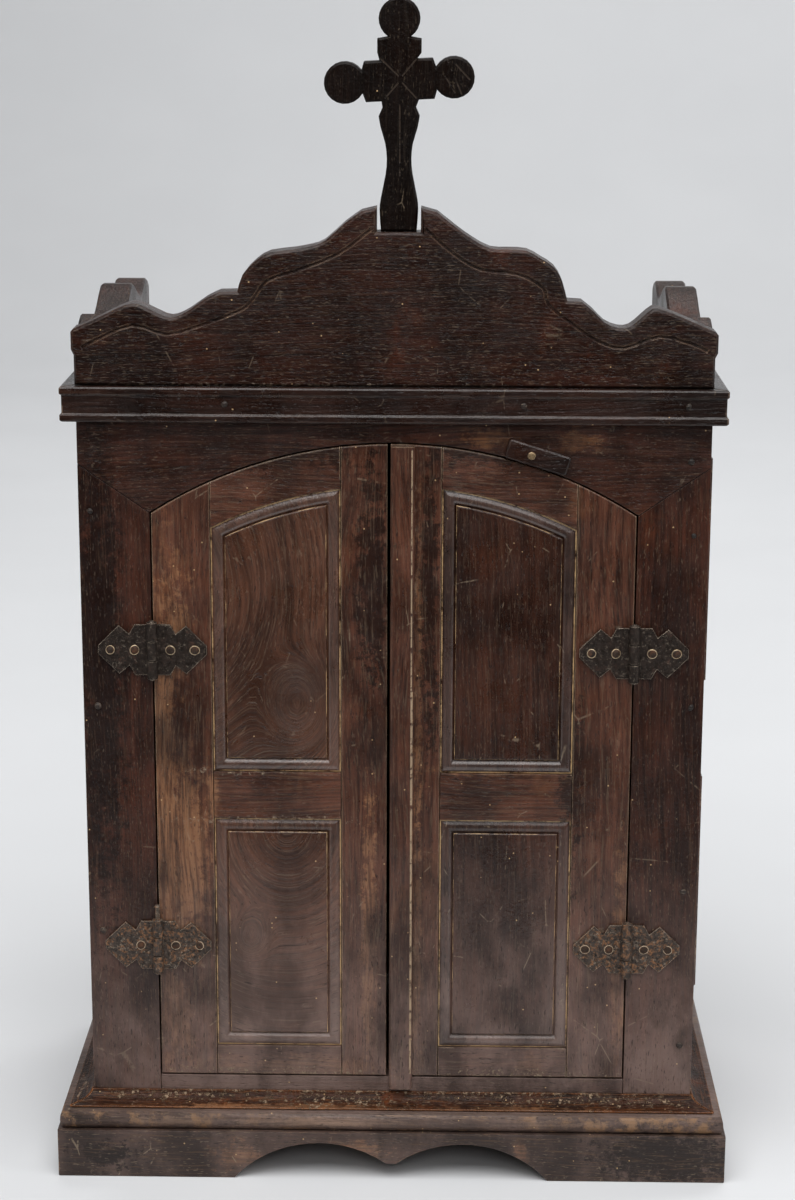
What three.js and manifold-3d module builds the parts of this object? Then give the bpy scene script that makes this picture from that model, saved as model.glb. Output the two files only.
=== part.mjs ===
// Home altar: a hardwood cabinet on a scalloped plinth, with two arched doors, a cresting and a cross.
// Millimetres, +Z up. The front faces -Y and the origin is the centre of the footprint on the ground.

import * as THREE from 'three';
import { mergeVertices } from 'three/addons/utils/BufferGeometryUtils.js';
import Module from 'manifold-3d';

const wasm = await Module();
wasm.setup();

// Clearances
const fit = 0.3;
const doorGap = 0.9;
const meetingGap = 1.6;
const mitreGap = fit * Math.SQRT2;

// Case
const caseWidth = 360;
const caseDepth = 210;
const caseHeight = 416;
const frameThickness = 16;
const wallThickness = 14;
const backThickness = 9;
const sillHeight = 16;
const openingHalf = 139.5;
const crownMargin = 11.7;
const archRise = 41.3;
const jambMitreRise = 28;

// Plinth and base mouldings
const plinthHeight = 30;
const plinthThickness = 18;
const plinthProjection = 20;
const floorThickness = 11;
const floorProjection = 18.5;
const floorEdgeEase = 2.2;
const coveHeight = 7;
const coveProjection = 13;
const coveLip = 1.2;
const apronApex = 43;
const apronRise = 23;
const apronPendant = 10;
const apronPendantHalf = 3;
const sideFoot = 58;
const sideApronRise = 20;
const backFoot = 70;
const backApronRise = 16;

// Top board and cornice
const topThickness = 20;
const corniceThickness = 8;
const corniceTopBand = 5;
const corniceLowBand = 4.8;
const corniceRecess = 1.1;
const corniceEase = 0.9;

// Cresting, galleries and cross
const crestSetback = 4;
const crestThickness = 18;
const crestHeight = 100;
const crestCentre = 2.5;
const crestEase = 1.4;
const earOverhang = 1.5;
const notchHalf = 12.3;
const notchDepth = 13.5;
const borderHalfWidth = 0.9;
const borderDepth = 1.2;
const galleryThickness = 19;
const galleryHeight = 42;
const galleryEase = 1.2;
const crossThickness = 13;
const crossSetback = 2.5;
const crossEase = 1.2;
const crossFootHalf = 9.9;
const crossHeadRadius = 11.4;
const crossNeckHalf = 9.2;
const crossNeckRise = 67.6;
const armRootReach = 10.3;
const armCentreRise = 82.3;
const armBlockReach = 18.9;
const armBlockHalf = 11;
const armDiscReach = 30;
const armTilt = 3;
const headBlockHalf = 12.1;
const headBlockFoot = 97;
const headBlockRise = 104.6;
const headDiscRise = 115.2;
const discNeckAngle = 33;

// Doors
const doorThickness = 15;
const meetingOffset = -2.5;
const hingeStileWidth = 33.5;
const leftMeetingStileWidth = 26.7;
const rightMeetingStileWidth = 29.2;
const topRailWidth = 24;
const midRailRise = 162.5;
const midRailWidth = 28.5;
const bottomRailWidth = 18.5;
const edgeBevel = 1.6;
const panelBack = 4;
const panelQuirk = 4.2;
const panelBevelWidth = 8.4;
const panelFillet = 0.7;
const panelFieldDrop = 0.4;
const astragalWidth = 14;
const astragalThickness = 5;
const astragalDrop = 7;
const astragalRound = 2.6;

// Side wall panels
const sidePanelProud = 5;
const sidePanelMargin = 30;
const sidePanelBevel = 9;
const upperSidePanelDrop = 18;
const sidePanelSpacing = 42;
const lowerSidePanelRise = 52;

// Butterfly hinges
const upperHingeDrop = 81;
const lowerHingeRise = 100;
const leafReach = 31.5;
const leafThickness = 1.6;
const leafHalfHeight = 15.1;
const leafShoulderReach = 10.2;
const leafNotchReach = 13.4;
const leafNotchHalf = 9.3;
const leafBarbReach = 19.5;
const leafBarbHalf = 14.4;
const leafTipHalf = 2.5;
const knuckleRadius = 3.1;
const knuckleHalfHeight = 17;
const knuckleMiddleHalf = 5.6;
const knuckleSeam = 0.4;
const pinRadius = 1.4;
const pinPlay = 0.25;
const pinStand = 1;
const risenPinStand = 9;
const nailRadius = 2.7;
const nailHeight = 1.2;
const innerNailReach = 10.4;
const outerNailReach = 24.5;

// Turn button
const buttonPivotOffset = 78;
const buttonWidth = 11.4;
const buttonLongEnd = 22;
const buttonShortEnd = 14.5;
const buttonThickness = 7;
const buttonEase = 1;
const buttonCorner = 1.5;
const buttonStandOff = 0.5;
const buttonNailRadius = 1.3;
const buttonNailPlay = 0.3;
const buttonNailHeadRadius = 2.5;
const buttonNailHeadHeight = 1.4;

// Levels and planes worked out from the sizes above
const faceY = -(caseDepth - plinthProjection) / 2;
const backY = faceY + caseDepth;
const halfWidth = caseWidth / 2;
const floorBottom = plinthHeight + fit;
const floorTop = floorBottom + floorThickness;
const caseBottom = floorTop + fit;
const caseTop = caseBottom + caseHeight;
const topBottom = caseTop + fit;
const topTop = topBottom + topThickness;
const crestBottom = topTop + fit;
const sillTop = caseBottom + sillHeight;
const springHeight = caseTop - crownMargin - archRise;
const archRadius = (openingHalf ** 2 + archRise ** 2) / (2 * archRise);
const archCentre = springHeight + archRise - archRadius;
const doorBottom = sillTop + doorGap;
const crestFront = faceY - crestSetback;
const hingeAxisX = openingHalf - doorGap / 2;
const hingeAxisY = faceY - knuckleRadius - fit;

// Finishes
const darkWood = new THREE.MeshStandardMaterial({ color: 0x2a1a14, roughness: 0.52, metalness: 0 });
const frameWood = new THREE.MeshStandardMaterial({ color: 0x2f1d15, roughness: 0.5, metalness: 0 });
const doorWood = new THREE.MeshStandardMaterial({ color: 0x332017, roughness: 0.47, metalness: 0 });
const panelWood = new THREE.MeshStandardMaterial({ color: 0x38241a, roughness: 0.45, metalness: 0 });
const innerWood = new THREE.MeshStandardMaterial({ color: 0x4a3326, roughness: 0.75, metalness: 0 });
const wroughtIron = new THREE.MeshStandardMaterial({ color: 0x3a3430, roughness: 0.55, metalness: 0.8 });
const agedBrass = new THREE.MeshStandardMaterial({ color: 0x8a6a3c, roughness: 0.45, metalness: 0.9 });

// Placement of a flat outline: its x and y become the first two axes and its thickness the third
const alongX = new THREE.Vector3(1, 0, 0);
const alongY = new THREE.Vector3(0, 1, 0);
const alongZ = new THREE.Vector3(0, 0, 1);

const altar = new THREE.Group();

function point(x, y) {
    return new THREE.Vector2(x, y);
}

function placed(geometry, first, second, x, y, z) {
    const third = new THREE.Vector3().crossVectors(first, second);
    const matrix = new THREE.Matrix4().makeBasis(first, second, third).setPosition(x, y, z);
    return geometry.applyMatrix4(matrix);
}

// A board of the given outline, its front on the plane y = front and its thickness behind that
function frontBoard(outline, front, thickness, ease = 0) {
    return placed(extruded(outline, thickness, ease), alongX, alongZ, 0, front + thickness, 0);
}

// A board of the given outline in y and z, from the plane x = left to x = left + thickness
function sideBoard(outline, left, thickness, ease = 0) {
    return placed(extruded(outline, thickness, ease), alongY, alongZ, left, 0, 0);
}

function extruded(outline, thickness, ease = 0) {
    const shape = new THREE.Shape(outline);
    const bevel = { bevelEnabled: ease > 0, bevelSegments: 1, bevelSize: ease, bevelThickness: ease };
    const depth = thickness - 2 * ease;
    const geometry = new THREE.ExtrudeGeometry(shape, { depth, steps: 1, bevelOffset: -ease, ...bevel });
    return geometry.translate(0, 0, ease);
}

function block(x0, x1, y0, y1, z0, z1) {
    const geometry = new THREE.BoxGeometry(x1 - x0, y1 - y0, z1 - z0);
    return geometry.translate((x0 + x1) / 2, (y0 + y1) / 2, (z0 + z1) / 2);
}

function rectangle(x0, x1, z0, z1) {
    return [point(x0, z0), point(x1, z0), point(x1, z1), point(x0, z1)];
}

// Points on a circle, both ends included, with the angles in degrees
function arc(centreX, centreY, radius, start, end, steps) {
    const points = [];
    for (let i = 0; i <= steps; i++) {
        const angle = THREE.MathUtils.degToRad(THREE.MathUtils.lerp(start, end, i / steps));
        points.push(point(centreX + radius * Math.cos(angle), centreY + radius * Math.sin(angle)));
    }
    return points;
}

function mirrored(points, centre = 0) {
    return points.map((p) => point(2 * centre - p.x, p.y)).reverse();
}

// Height of the arched opening's edge above x, or of a line the given inset inside it
function archHeight(x, inset = 0) {
    return archCentre + Math.sqrt((archRadius - inset) ** 2 - x ** 2);
}

function archEdge(startX, endX, inset, steps) {
    const points = [];
    for (let i = 0; i <= steps; i++) {
        const x = THREE.MathUtils.lerp(startX, endX, i / steps);
        points.push(point(x, archHeight(x, inset)));
    }
    return points;
}

// A closed solid through rings of the same number of points, each a flat outline at its own height
function lofted(rings) {
    const count = rings[0].outline.length;
    const positions = [];
    const index = [];
    for (const ring of rings) {
        for (const p of ring.outline) {
            positions.push(p.x, p.y, ring.height);
        }
    }
    for (let level = 0; level < rings.length - 1; level++) {
        for (let i = 0; i < count; i++) {
            const a = level * count + i;
            const b = level * count + (i + 1) % count;
            index.push(a, b, b + count, a, b + count, a + count);
        }
    }
    const last = (rings.length - 1) * count;
    for (const [a, b, c] of THREE.ShapeUtils.triangulateShape(rings[0].outline, [])) {
        index.push(a, c, b);
    }
    for (const [a, b, c] of THREE.ShapeUtils.triangulateShape(rings[rings.length - 1].outline, [])) {
        index.push(last + a, last + b, last + c);
    }
    const geometry = new THREE.BufferGeometry();
    geometry.setAttribute('position', new THREE.Float32BufferAttribute(positions, 3));
    geometry.setIndex(index);
    return geometry;
}

function solidOf(geometry) {
    const bare = geometry.clone();
    bare.deleteAttribute('normal');
    bare.deleteAttribute('uv');
    const merged = mergeVertices(bare, 1e-4);
    const corners = merged.index.array;
    const triangles = [];
    for (let i = 0; i < corners.length; i += 3) {
        const [a, b, c] = [corners[i], corners[i + 1], corners[i + 2]];
        if (a !== b && b !== c && c !== a) {
            triangles.push(a, b, c);
        }
    }
    const vertProperties = new Float32Array(merged.attributes.position.array);
    const triVerts = new Uint32Array(triangles);
    return new wasm.Manifold(new wasm.Mesh({ numProp: 3, vertProperties, triVerts }));
}

function geometryOf(solid) {
    const mesh = solid.getMesh();
    const geometry = new THREE.BufferGeometry();
    geometry.setAttribute('position', new THREE.Float32BufferAttribute(mesh.vertProperties, 3));
    geometry.setIndex(Array.from(mesh.triVerts));
    return geometry;
}

function joined(geometries) {
    return geometries.map(solidOf).reduce((whole, piece) => whole.add(piece));
}

function add(group, name, geometry, material) {
    const mesh = new THREE.Mesh(geometry, material);
    mesh.name = name;
    group.add(mesh);
    return mesh;
}

// Adds a piece drawn in the altar's own frame to a group that stands somewhere else
function hang(group, name, geometry, material) {
    geometry.translate(-group.position.x, -group.position.y, -group.position.z);
    return add(group, name, geometry, material);
}

// Moulding run of a profile (outwards, upwards), its ends cut at 45 degrees where mitred
function mouldingRun(profile, length, startMitred, endMitred) {
    const options = { depth: length, bevelEnabled: false };
    const geometry = new THREE.ExtrudeGeometry(new THREE.Shape(profile), options);
    const position = geometry.attributes.position;
    for (let i = 0; i < position.count; i++) {
        const atEnd = position.getZ(i) > length / 2;
        const reach = position.getX(i);
        if (atEnd && endMitred) {
            position.setZ(i, length + reach);
        }
        if (!atEnd && startMitred) {
            position.setZ(i, -reach);
        }
    }
    return geometry;
}

// The same moulding on the front and both sides of a core, mitred at the front corners
function mouldingSet(name, profile, bottom, material) {
    const sideLength = caseDepth - mitreGap;
    const front = mouldingRun(profile, caseWidth, true, true);
    const left = mouldingRun(profile, sideLength, true, false);
    const right = mouldingRun(profile, sideLength, false, true);
    const towardsFront = alongY.clone().negate();
    const towardsLeft = alongX.clone().negate();
    placed(front, towardsFront, alongZ, halfWidth, faceY - fit, bottom);
    placed(left, towardsLeft, alongZ, -halfWidth - fit, faceY + mitreGap, bottom);
    placed(right, alongX, alongZ, halfWidth + fit, backY, bottom);
    add(altar, `${name}_front`, front, material);
    add(altar, `${name}_left`, left, material);
    add(altar, `${name}_right`, right, material);
}

// Plinth: a front board with two arches and a pendant, side boards with one arch, and a plain back
function apronArch(apex, rise, startX, endX, radius, steps) {
    const points = [];
    for (let i = 0; i <= steps; i++) {
        const x = THREE.MathUtils.lerp(startX, endX, i / steps);
        points.push(point(x, rise - radius + Math.sqrt(radius ** 2 - (x - apex) ** 2)));
    }
    return points;
}

function radiusOfRise(halfChord, rise) {
    return (halfChord ** 2 + rise ** 2) / (2 * rise);
}

function buildPlinth() {
    const half = halfWidth + plinthProjection;
    const front = faceY - plinthProjection;
    const inner = half - plinthThickness;
    const radius = radiusOfRise(apronApex - apronPendantHalf, apronRise - apronPendant);
    const footEdge = apronApex + Math.sqrt(radius ** 2 - (radius - apronRise) ** 2);
    const rightArch = apronArch(apronApex, apronRise, apronPendantHalf, footEdge, radius, 14);
    const lower = [point(-half, 0), ...mirrored(rightArch), ...rightArch, point(half, 0)];
    const outline = [...lower, point(half, plinthHeight), point(-half, plinthHeight)];
    const frontBoardGeometry = frontBoard(outline, front, plinthThickness);
    const position = frontBoardGeometry.attributes.position;
    for (let i = 0; i < position.count; i++) {
        const atBack = position.getY(i) > front + plinthThickness / 2;
        if (atBack && Math.abs(position.getX(i)) > inner) {
            position.setX(i, Math.sign(position.getX(i)) * inner);
        }
    }
    add(altar, 'plinth_front', frontBoardGeometry, darkWood);

    const sideStart = front + mitreGap;
    const archStart = front + sideFoot;
    const archEnd = backY - sideFoot;
    const archMiddle = (archStart + archEnd) / 2;
    const sideRadius = radiusOfRise((archEnd - archStart) / 2, sideApronRise);
    const sideArch = apronArch(archMiddle, sideApronRise, archStart, archEnd, sideRadius, 12);
    const sideLower = [point(sideStart, 0), ...sideArch, point(backY, 0)];
    const sideOutline = [...sideLower, point(backY, plinthHeight), point(sideStart, plinthHeight)];
    for (const [side, label] of [[-1, 'left'], [1, 'right']]) {
        const outer = side * half;
        const left = Math.min(outer, outer - side * plinthThickness);
        const geometry = sideBoard(sideOutline, left, plinthThickness);
        const corners = geometry.attributes.position;
        for (let i = 0; i < corners.count; i++) {
            const isInner = Math.abs(corners.getX(i)) < half - plinthThickness / 2;
            if (isInner && corners.getY(i) < sideStart + plinthThickness) {
                corners.setY(i, sideStart + plinthThickness);
            }
        }
        add(altar, `plinth_${label}`, geometry, darkWood);
    }

    const backHalf = inner - fit;
    const backReach = backHalf - backFoot;
    const backRadius = radiusOfRise(backReach, backApronRise);
    const backArch = apronArch(0, backApronRise, -backReach, backReach, backRadius, 10);
    const backLower = [point(-backHalf, 0), ...backArch, point(backHalf, 0)];
    const backOutline = [...backLower, point(backHalf, plinthHeight), point(-backHalf, plinthHeight)];
    const backBoard = frontBoard(backOutline, backY - plinthThickness, plinthThickness);
    add(altar, 'plinth_back', backBoard, innerWood);
}

// Floor board: its front and side edges are a half-round torus, its back edge is square
function buildFloorBoard() {
    const half = halfWidth + floorProjection;
    const front = faceY - floorProjection;
    const steps = 6;
    const rings = [];
    for (let i = 0; i <= steps; i++) {
        const angle = Math.PI * (i / steps - 0.5);
        const inset = floorEdgeEase * (1 - Math.cos(angle));
        const height = floorBottom + floorThickness * (0.5 + Math.sin(angle) / 2);
        const outline = rectangle(-half + inset, half - inset, front + inset, backY);
        rings.push({ outline, height });
    }
    add(altar, 'floor_board', lofted(rings), darkWood);
}

function buildBaseCove() {
    const outer = coveProjection;
    const curve = [];
    const steps = 6;
    for (let i = 0; i <= steps; i++) {
        const angle = Math.PI / 2 * i / steps;
        const reach = coveLip + (outer - 2 * coveLip) * (1 - Math.sin(angle));
        const height = coveLip + (coveHeight - coveLip) * (1 - Math.cos(angle));
        curve.push(point(reach, height));
    }
    const profile = [point(0, 0), point(outer, 0), point(outer, coveLip), ...curve, point(0, coveHeight)];
    mouldingSet('base_cove', profile, floorTop + fit, darkWood);
}

// Case: side walls, back, and a front frame of two jambs, an arched head rail and a sill rail
function buildCase() {
    const frameBack = faceY + frameThickness;
    const wallFront = frameBack + fit;
    const wallBack = backY - backThickness - fit;
    for (const [side, label] of [[-1, 'left'], [1, 'right']]) {
        const left = side < 0 ? -halfWidth : halfWidth - wallThickness;
        const wall = block(left, left + wallThickness, wallFront, wallBack, caseBottom, caseTop);
        add(altar, `side_wall_${label}`, wall, frameWood);
        const outerX = side * halfWidth;
        const innerX = side * openingHalf;
        const mitreTop = springHeight + jambMitreRise;
        const lower = [point(outerX, caseBottom), point(innerX, caseBottom)];
        const upper = [point(innerX, springHeight - mitreGap), point(outerX, mitreTop - mitreGap)];
        add(altar, `jamb_${label}`, frontBoard([...lower, ...upper], faceY, frameThickness), frameWood);
        const panelsBottom = caseBottom + lowerSidePanelRise;
        const panelsTop = caseTop - upperSidePanelDrop;
        const panelHeight = (panelsTop - panelsBottom - sidePanelSpacing) / 2;
        buildSidePanel(side, label, 'upper', panelsTop - panelHeight, panelHeight);
        buildSidePanel(side, label, 'lower', panelsBottom, panelHeight);
    }
    const back = block(-halfWidth, halfWidth, backY - backThickness, backY, caseBottom, caseTop);
    add(altar, 'back_board', back, innerWood);
    const sillHalf = openingHalf - fit;
    const sill = block(-sillHalf, sillHalf, faceY, frameBack, caseBottom, sillTop);
    add(altar, 'sill_rail', sill, frameWood);
    const head = [
        point(-halfWidth, caseTop),
        point(-halfWidth, springHeight + jambMitreRise),
        ...archEdge(-openingHalf, openingHalf, 0, 28),
        point(halfWidth, springHeight + jambMitreRise),
        point(halfWidth, caseTop),
    ];
    add(altar, 'head_rail', frontBoard(head, faceY, frameThickness), frameWood);
}

// Raised panel on the outside of a side wall: a field with a bevel all round
function buildSidePanel(side, label, place, z0, height) {
    const y0 = faceY + sidePanelMargin;
    const y1 = backY - sidePanelMargin;
    const outlineAt = (inset) => rectangle(y0 + inset, y1 - inset, z0 + inset, z0 + height - inset);
    const edge = sidePanelProud * 0.3;
    const fillet = sidePanelProud * 0.16;
    const rings = [
        { outline: outlineAt(0), height: fit },
        { outline: outlineAt(0), height: edge },
        { outline: outlineAt(sidePanelBevel), height: sidePanelProud - fillet },
        { outline: outlineAt(sidePanelBevel), height: sidePanelProud },
    ];
    const geometry = lofted(rings);
    if (side > 0) {
        placed(geometry, alongY, alongZ, halfWidth, 0, 0);
    } else {
        geometry.scale(-1, 1, 1);
        placed(geometry, alongY.clone().negate(), alongZ, -halfWidth, 0, 0);
        turnInsideOut(geometry);
    }
    add(altar, `side_panel_${label}_${place}`, geometry, panelWood);
}

function turnInsideOut(geometry) {
    const corners = geometry.index.array;
    for (let i = 0; i < corners.length; i += 3) {
        [corners[i + 1], corners[i + 2]] = [corners[i + 2], corners[i + 1]];
    }
}

// Top board with the cornice moulding on its front and side edges
function buildTop() {
    const top = block(-halfWidth, halfWidth, faceY, backY, topBottom, topTop);
    add(altar, 'top_board', top, darkWood);
    const outer = corniceThickness;
    const inner = corniceThickness - corniceRecess;
    const profile = [
        point(0, 0),
        point(outer - corniceEase, 0),
        point(outer, corniceEase),
        point(outer, corniceLowBand - corniceEase),
        point(inner, corniceLowBand),
        point(inner, topThickness - corniceTopBand),
        point(outer, topThickness - corniceTopBand + corniceEase),
        point(outer, topThickness - corniceEase),
        point(outer - corniceEase, topThickness),
        point(0, topThickness),
    ];
    mouldingSet('cornice', profile, topBottom, darkWood);
}

// Cresting outline as shares of the half length and of the height, from the notch to the end
const crestLeftBrow = [
    [0.113, 0.98], [0.162, 0.917], [0.225, 0.815], [0.267, 0.786], [0.322, 0.767],
    [0.392, 0.75], [0.435, 0.705], [0.477, 0.622], [0.493, 0.532],
];
const crestLeftWave = [
    [0.548, 0.529], [0.59, 0.492], [0.64, 0.428], [0.683, 0.389], [0.718, 0.391],
    [0.781, 0.446], [0.816, 0.462], [0.865, 0.432], [0.937, 0.367], [1, 0.318],
];
const crestRightBrow = [
    [0.12, 0.976], [0.178, 0.895], [0.228, 0.832], [0.286, 0.778], [0.343, 0.773],
    [0.4, 0.767], [0.444, 0.726], [0.487, 0.676], [0.513, 0.6], [0.53, 0.49],
];
const crestRightWave = [
    [0.576, 0.485], [0.612, 0.434], [0.649, 0.37], [0.693, 0.339], [0.729, 0.346],
    [0.764, 0.397], [0.799, 0.449], [0.828, 0.443], [0.879, 0.411], [0.952, 0.355], [1, 0.318],
];
const leftBorder = [
    [0.183, 0.747], [0.303, 0.657], [0.401, 0.595], [0.451, 0.475], [0.494, 0.421],
    [0.606, 0.344], [0.713, 0.292], [0.817, 0.342], [0.938, 0.251], [0.975, 0.212],
];
const rightBorder = [
    [0.171, 0.751], [0.258, 0.663], [0.373, 0.639], [0.453, 0.561], [0.47, 0.471],
    [0.541, 0.37], [0.628, 0.268], [0.711, 0.23], [0.823, 0.295], [0.93, 0.25], [0.975, 0.212],
];

// Smooth run through shares of the cresting, on the side given by side
function crestCurve(shares, side, stepsPerPoint) {
    const reach = halfWidth - side * crestCentre;
    const at = ([u, v]) => point(crestCentre + side * u * reach, crestBottom + v * crestHeight);
    const points = shares.map(at);
    return new THREE.SplineCurve(points).getPoints((points.length - 1) * stepsPerPoint);
}

function crestHalf(brow, wave, side) {
    const notchEdge = crestCentre + side * notchHalf;
    const end = side * halfWidth;
    const earTop = crestBottom + crestHeight * 0.3;
    const earBottom = crestBottom + crestHeight * 0.2;
    const ear = end + side * earOverhang;
    return [
        point(notchEdge, crestBottom + crestHeight - notchDepth),
        point(notchEdge, crestBottom + crestHeight),
        ...crestCurve(brow, side, 2),
        ...crestCurve(wave, side, 2),
        point(ear, earTop),
        point(ear, earBottom),
        point(end, earBottom - 2 * earOverhang),
        point(end, crestBottom),
    ];
}

// Carved groove that follows the outline of the cresting, as a band around a smooth line
function borderGroove(shares, side) {
    const start = [notchHalf / halfWidth + 0.015, 0.885];
    const line = crestCurve([start, ...shares], side, 3);
    const upper = [];
    const lower = [];
    for (let i = 0; i < line.length; i++) {
        const before = line[Math.max(i - 1, 0)];
        const after = line[Math.min(i + 1, line.length - 1)];
        const along = after.clone().sub(before).normalize().multiplyScalar(borderHalfWidth);
        upper.push(point(line[i].x - along.y, line[i].y + along.x));
        lower.push(point(line[i].x + along.y, line[i].y - along.x));
    }
    return frontBoard([...upper, ...lower.reverse()], crestFront - 1, borderDepth + 1);
}

function buildCrest() {
    const right = crestHalf(crestRightBrow, crestRightWave, 1);
    const left = crestHalf(crestLeftBrow, crestLeftWave, -1);
    const outline = [...right, ...left.reverse()];
    let crest = solidOf(frontBoard(outline, crestFront, crestThickness, crestEase));
    crest = crest.subtract(solidOf(borderGroove(leftBorder, -1)));
    crest = crest.subtract(solidOf(borderGroove(rightBorder, 1)));
    add(altar, 'crest_front', geometryOf(crest), darkWood);
}

// Gallery boards along both sides of the top, each with three humps, as shares of length and height
const galleryWave = [
    [0, 0.71], [0.07, 0.86], [0.17, 0.74], [0.3, 0.62], [0.42, 0.78], [0.53, 1], [0.62, 0.93],
    [0.73, 0.73], [0.81, 0.75], [0.9, 0.87], [0.96, 0.83], [1, 0.72],
];

function buildGalleries() {
    const start = crestFront + crestThickness + fit;
    const length = backY - start;
    const at = ([u, v]) => point(start + u * length, crestBottom + v * galleryHeight);
    const points = galleryWave.map(at);
    const top = new THREE.SplineCurve(points).getPoints((points.length - 1) * 2);
    const outline = [point(start, crestBottom), point(backY, crestBottom), ...top.reverse()];
    const left = sideBoard(outline, -halfWidth, galleryThickness, galleryEase);
    const right = sideBoard(outline, halfWidth - galleryThickness, galleryThickness, galleryEase);
    add(altar, 'gallery_left', left, darkWood);
    add(altar, 'gallery_right', right, darkWood);
}

// Cross: a flat board sawn to a baluster foot, three square blocks and three discs
// The foot's half widths and heights are shares of its foot and of its neck height
const balusterShares = [
    [1, 0], [1.08, 0.17], [1.01, 0.27], [0.75, 0.46], [0.68, 0.585], [0.77, 0.71], [1.03, 0.84], [1.14, 0.93],
];

function crossArm(side) {
    const turn = THREE.MathUtils.degToRad(side > 0 ? armTilt : -armTilt);
    const flat = [
        point(side * armRootReach, -armBlockHalf),
        point(side * armBlockReach, -armBlockHalf),
        ...arc(armDiscReach, 0, crossHeadRadius, -180 + discNeckAngle, 180 - discNeckAngle, 18)
            .map((p) => point(side * p.x, p.y)),
        point(side * armBlockReach, armBlockHalf),
        point(side * armRootReach, armBlockHalf),
    ];
    const spin = turn * side;
    return flat.map((p) => {
        const x = p.x * Math.cos(spin) - p.y * Math.sin(spin);
        const y = p.x * Math.sin(spin) + p.y * Math.cos(spin);
        return point(x, armCentreRise + y);
    });
}

function crossFootEdge() {
    const baluster = balusterShares.map(([u, v]) => point(u * crossFootHalf, v * crossNeckRise));
    return [...new THREE.SplineCurve(baluster).getPoints(14), point(crossNeckHalf, crossNeckRise)];
}

function buildCross() {
    const foot = crossFootEdge();
    const block = [point(headBlockHalf, headBlockFoot), point(headBlockHalf, headBlockRise)];
    const rightSide = [...foot, ...crossArm(1), ...block];
    const leftSide = [...mirrored(block), ...crossArm(-1).reverse(), ...mirrored(foot)];
    const headStart = discNeckAngle - 90;
    const head = arc(0, headDiscRise, crossHeadRadius, headStart, 180 - headStart, 20);
    const base = crestBottom + crestHeight - notchDepth + fit;
    const outline = [...rightSide, ...head, ...leftSide].map((p) => point(p.x + crestCentre, p.y + base));
    const front = crestFront + crossSetback;
    add(altar, 'cross', frontBoard(outline, front, crossThickness, crossEase), darkWood);
}

// Door frames and fielded panels; side is -1 for the left door and 1 for the right
function leanedEdge(geometry, edgeX, lean) {
    const position = geometry.attributes.position;
    for (let i = 0; i < position.count; i++) {
        const atBack = position.getY(i) > faceY + doorThickness / 2;
        if (atBack && Math.abs(position.getX(i) - edgeX) < fit / 2) {
            position.setX(i, edgeX + lean);
        }
    }
    return geometry;
}

function fieldedPanel(x0, x1, z0, topAt) {
    const outlineAt = (inset) => {
        const left = x0 + inset;
        const right = x1 - inset;
        return [point(left, z0 + inset), point(right, z0 + inset), ...topAt(right, left, inset)];
    };
    const depthAt = (belowFace) => doorThickness - belowFace;
    const fieldInset = panelBevelWidth + panelFillet;
    return placed(lofted([
        { outline: outlineAt(0), height: panelBack },
        { outline: outlineAt(0), height: depthAt(panelQuirk) },
        { outline: outlineAt(panelBevelWidth * 0.45), height: depthAt(panelQuirk * 0.72) },
        { outline: outlineAt(panelBevelWidth), height: depthAt(panelFieldDrop + panelFillet) },
        { outline: outlineAt(fieldInset), height: depthAt(panelFieldDrop) },
    ]), alongX, alongZ, 0, faceY + doorThickness, 0);
}

function buildDoor(side, label) {
    const door = new THREE.Group();
    door.position.set(side * hingeAxisX, hingeAxisY, 0);
    altar.add(door);
    const hingeX = side * (openingHalf - doorGap);
    const meetingX = meetingOffset + side * meetingGap / 2;
    const meetingWidth = side < 0 ? leftMeetingStileWidth : rightMeetingStileWidth;
    const hingeInnerX = hingeX - side * hingeStileWidth;
    const meetingInnerX = meetingX + side * meetingWidth;
    const stile = (edgeX, innerX) => frontBoard([
        point(edgeX, doorBottom), point(innerX, doorBottom), ...archEdge(innerX, edgeX, doorGap, 6),
    ], faceY, doorThickness);
    hang(door, `door_${label}_hinge_stile`, stile(hingeX, hingeInnerX), doorWood);
    const meetingStile = leanedEdge(stile(meetingX, meetingInnerX), meetingX, side * edgeBevel);
    hang(door, `door_${label}_meeting_stile`, meetingStile, doorWood);

    const x0 = Math.min(hingeInnerX, meetingInnerX) + fit;
    const x1 = Math.max(hingeInnerX, meetingInnerX) - fit;
    const railTop = archEdge(x1, x0, doorGap, 10);
    const railBottom = archEdge(x0, x1, doorGap + topRailWidth, 10);
    const topRail = frontBoard([...railBottom, ...railTop], faceY, doorThickness);
    hang(door, `door_${label}_top_rail`, topRail, doorWood);
    const midBottom = doorBottom + midRailRise;
    const midTop = midBottom + midRailWidth;
    const bottomTop = doorBottom + bottomRailWidth;
    const rail = (z0, z1) => frontBoard(rectangle(x0, x1, z0, z1), faceY, doorThickness);
    hang(door, `door_${label}_mid_rail`, rail(midBottom, midTop), doorWood);
    hang(door, `door_${label}_bottom_rail`, rail(doorBottom, bottomTop), doorWood);

    const arched = (right, left, inset) => archEdge(right, left, doorGap + topRailWidth + fit + inset, 10);
    const square = (right, left, inset) => {
        const top = midBottom - fit - inset;
        return [point(right, top), point(left, top)];
    };
    const upper = fieldedPanel(x0, x1, midTop + fit, arched);
    const lower = fieldedPanel(x0, x1, bottomTop + fit, square);
    hang(door, `door_${label}_upper_panel`, upper, panelWood);
    hang(door, `door_${label}_lower_panel`, lower, panelWood);
    return door;
}

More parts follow.
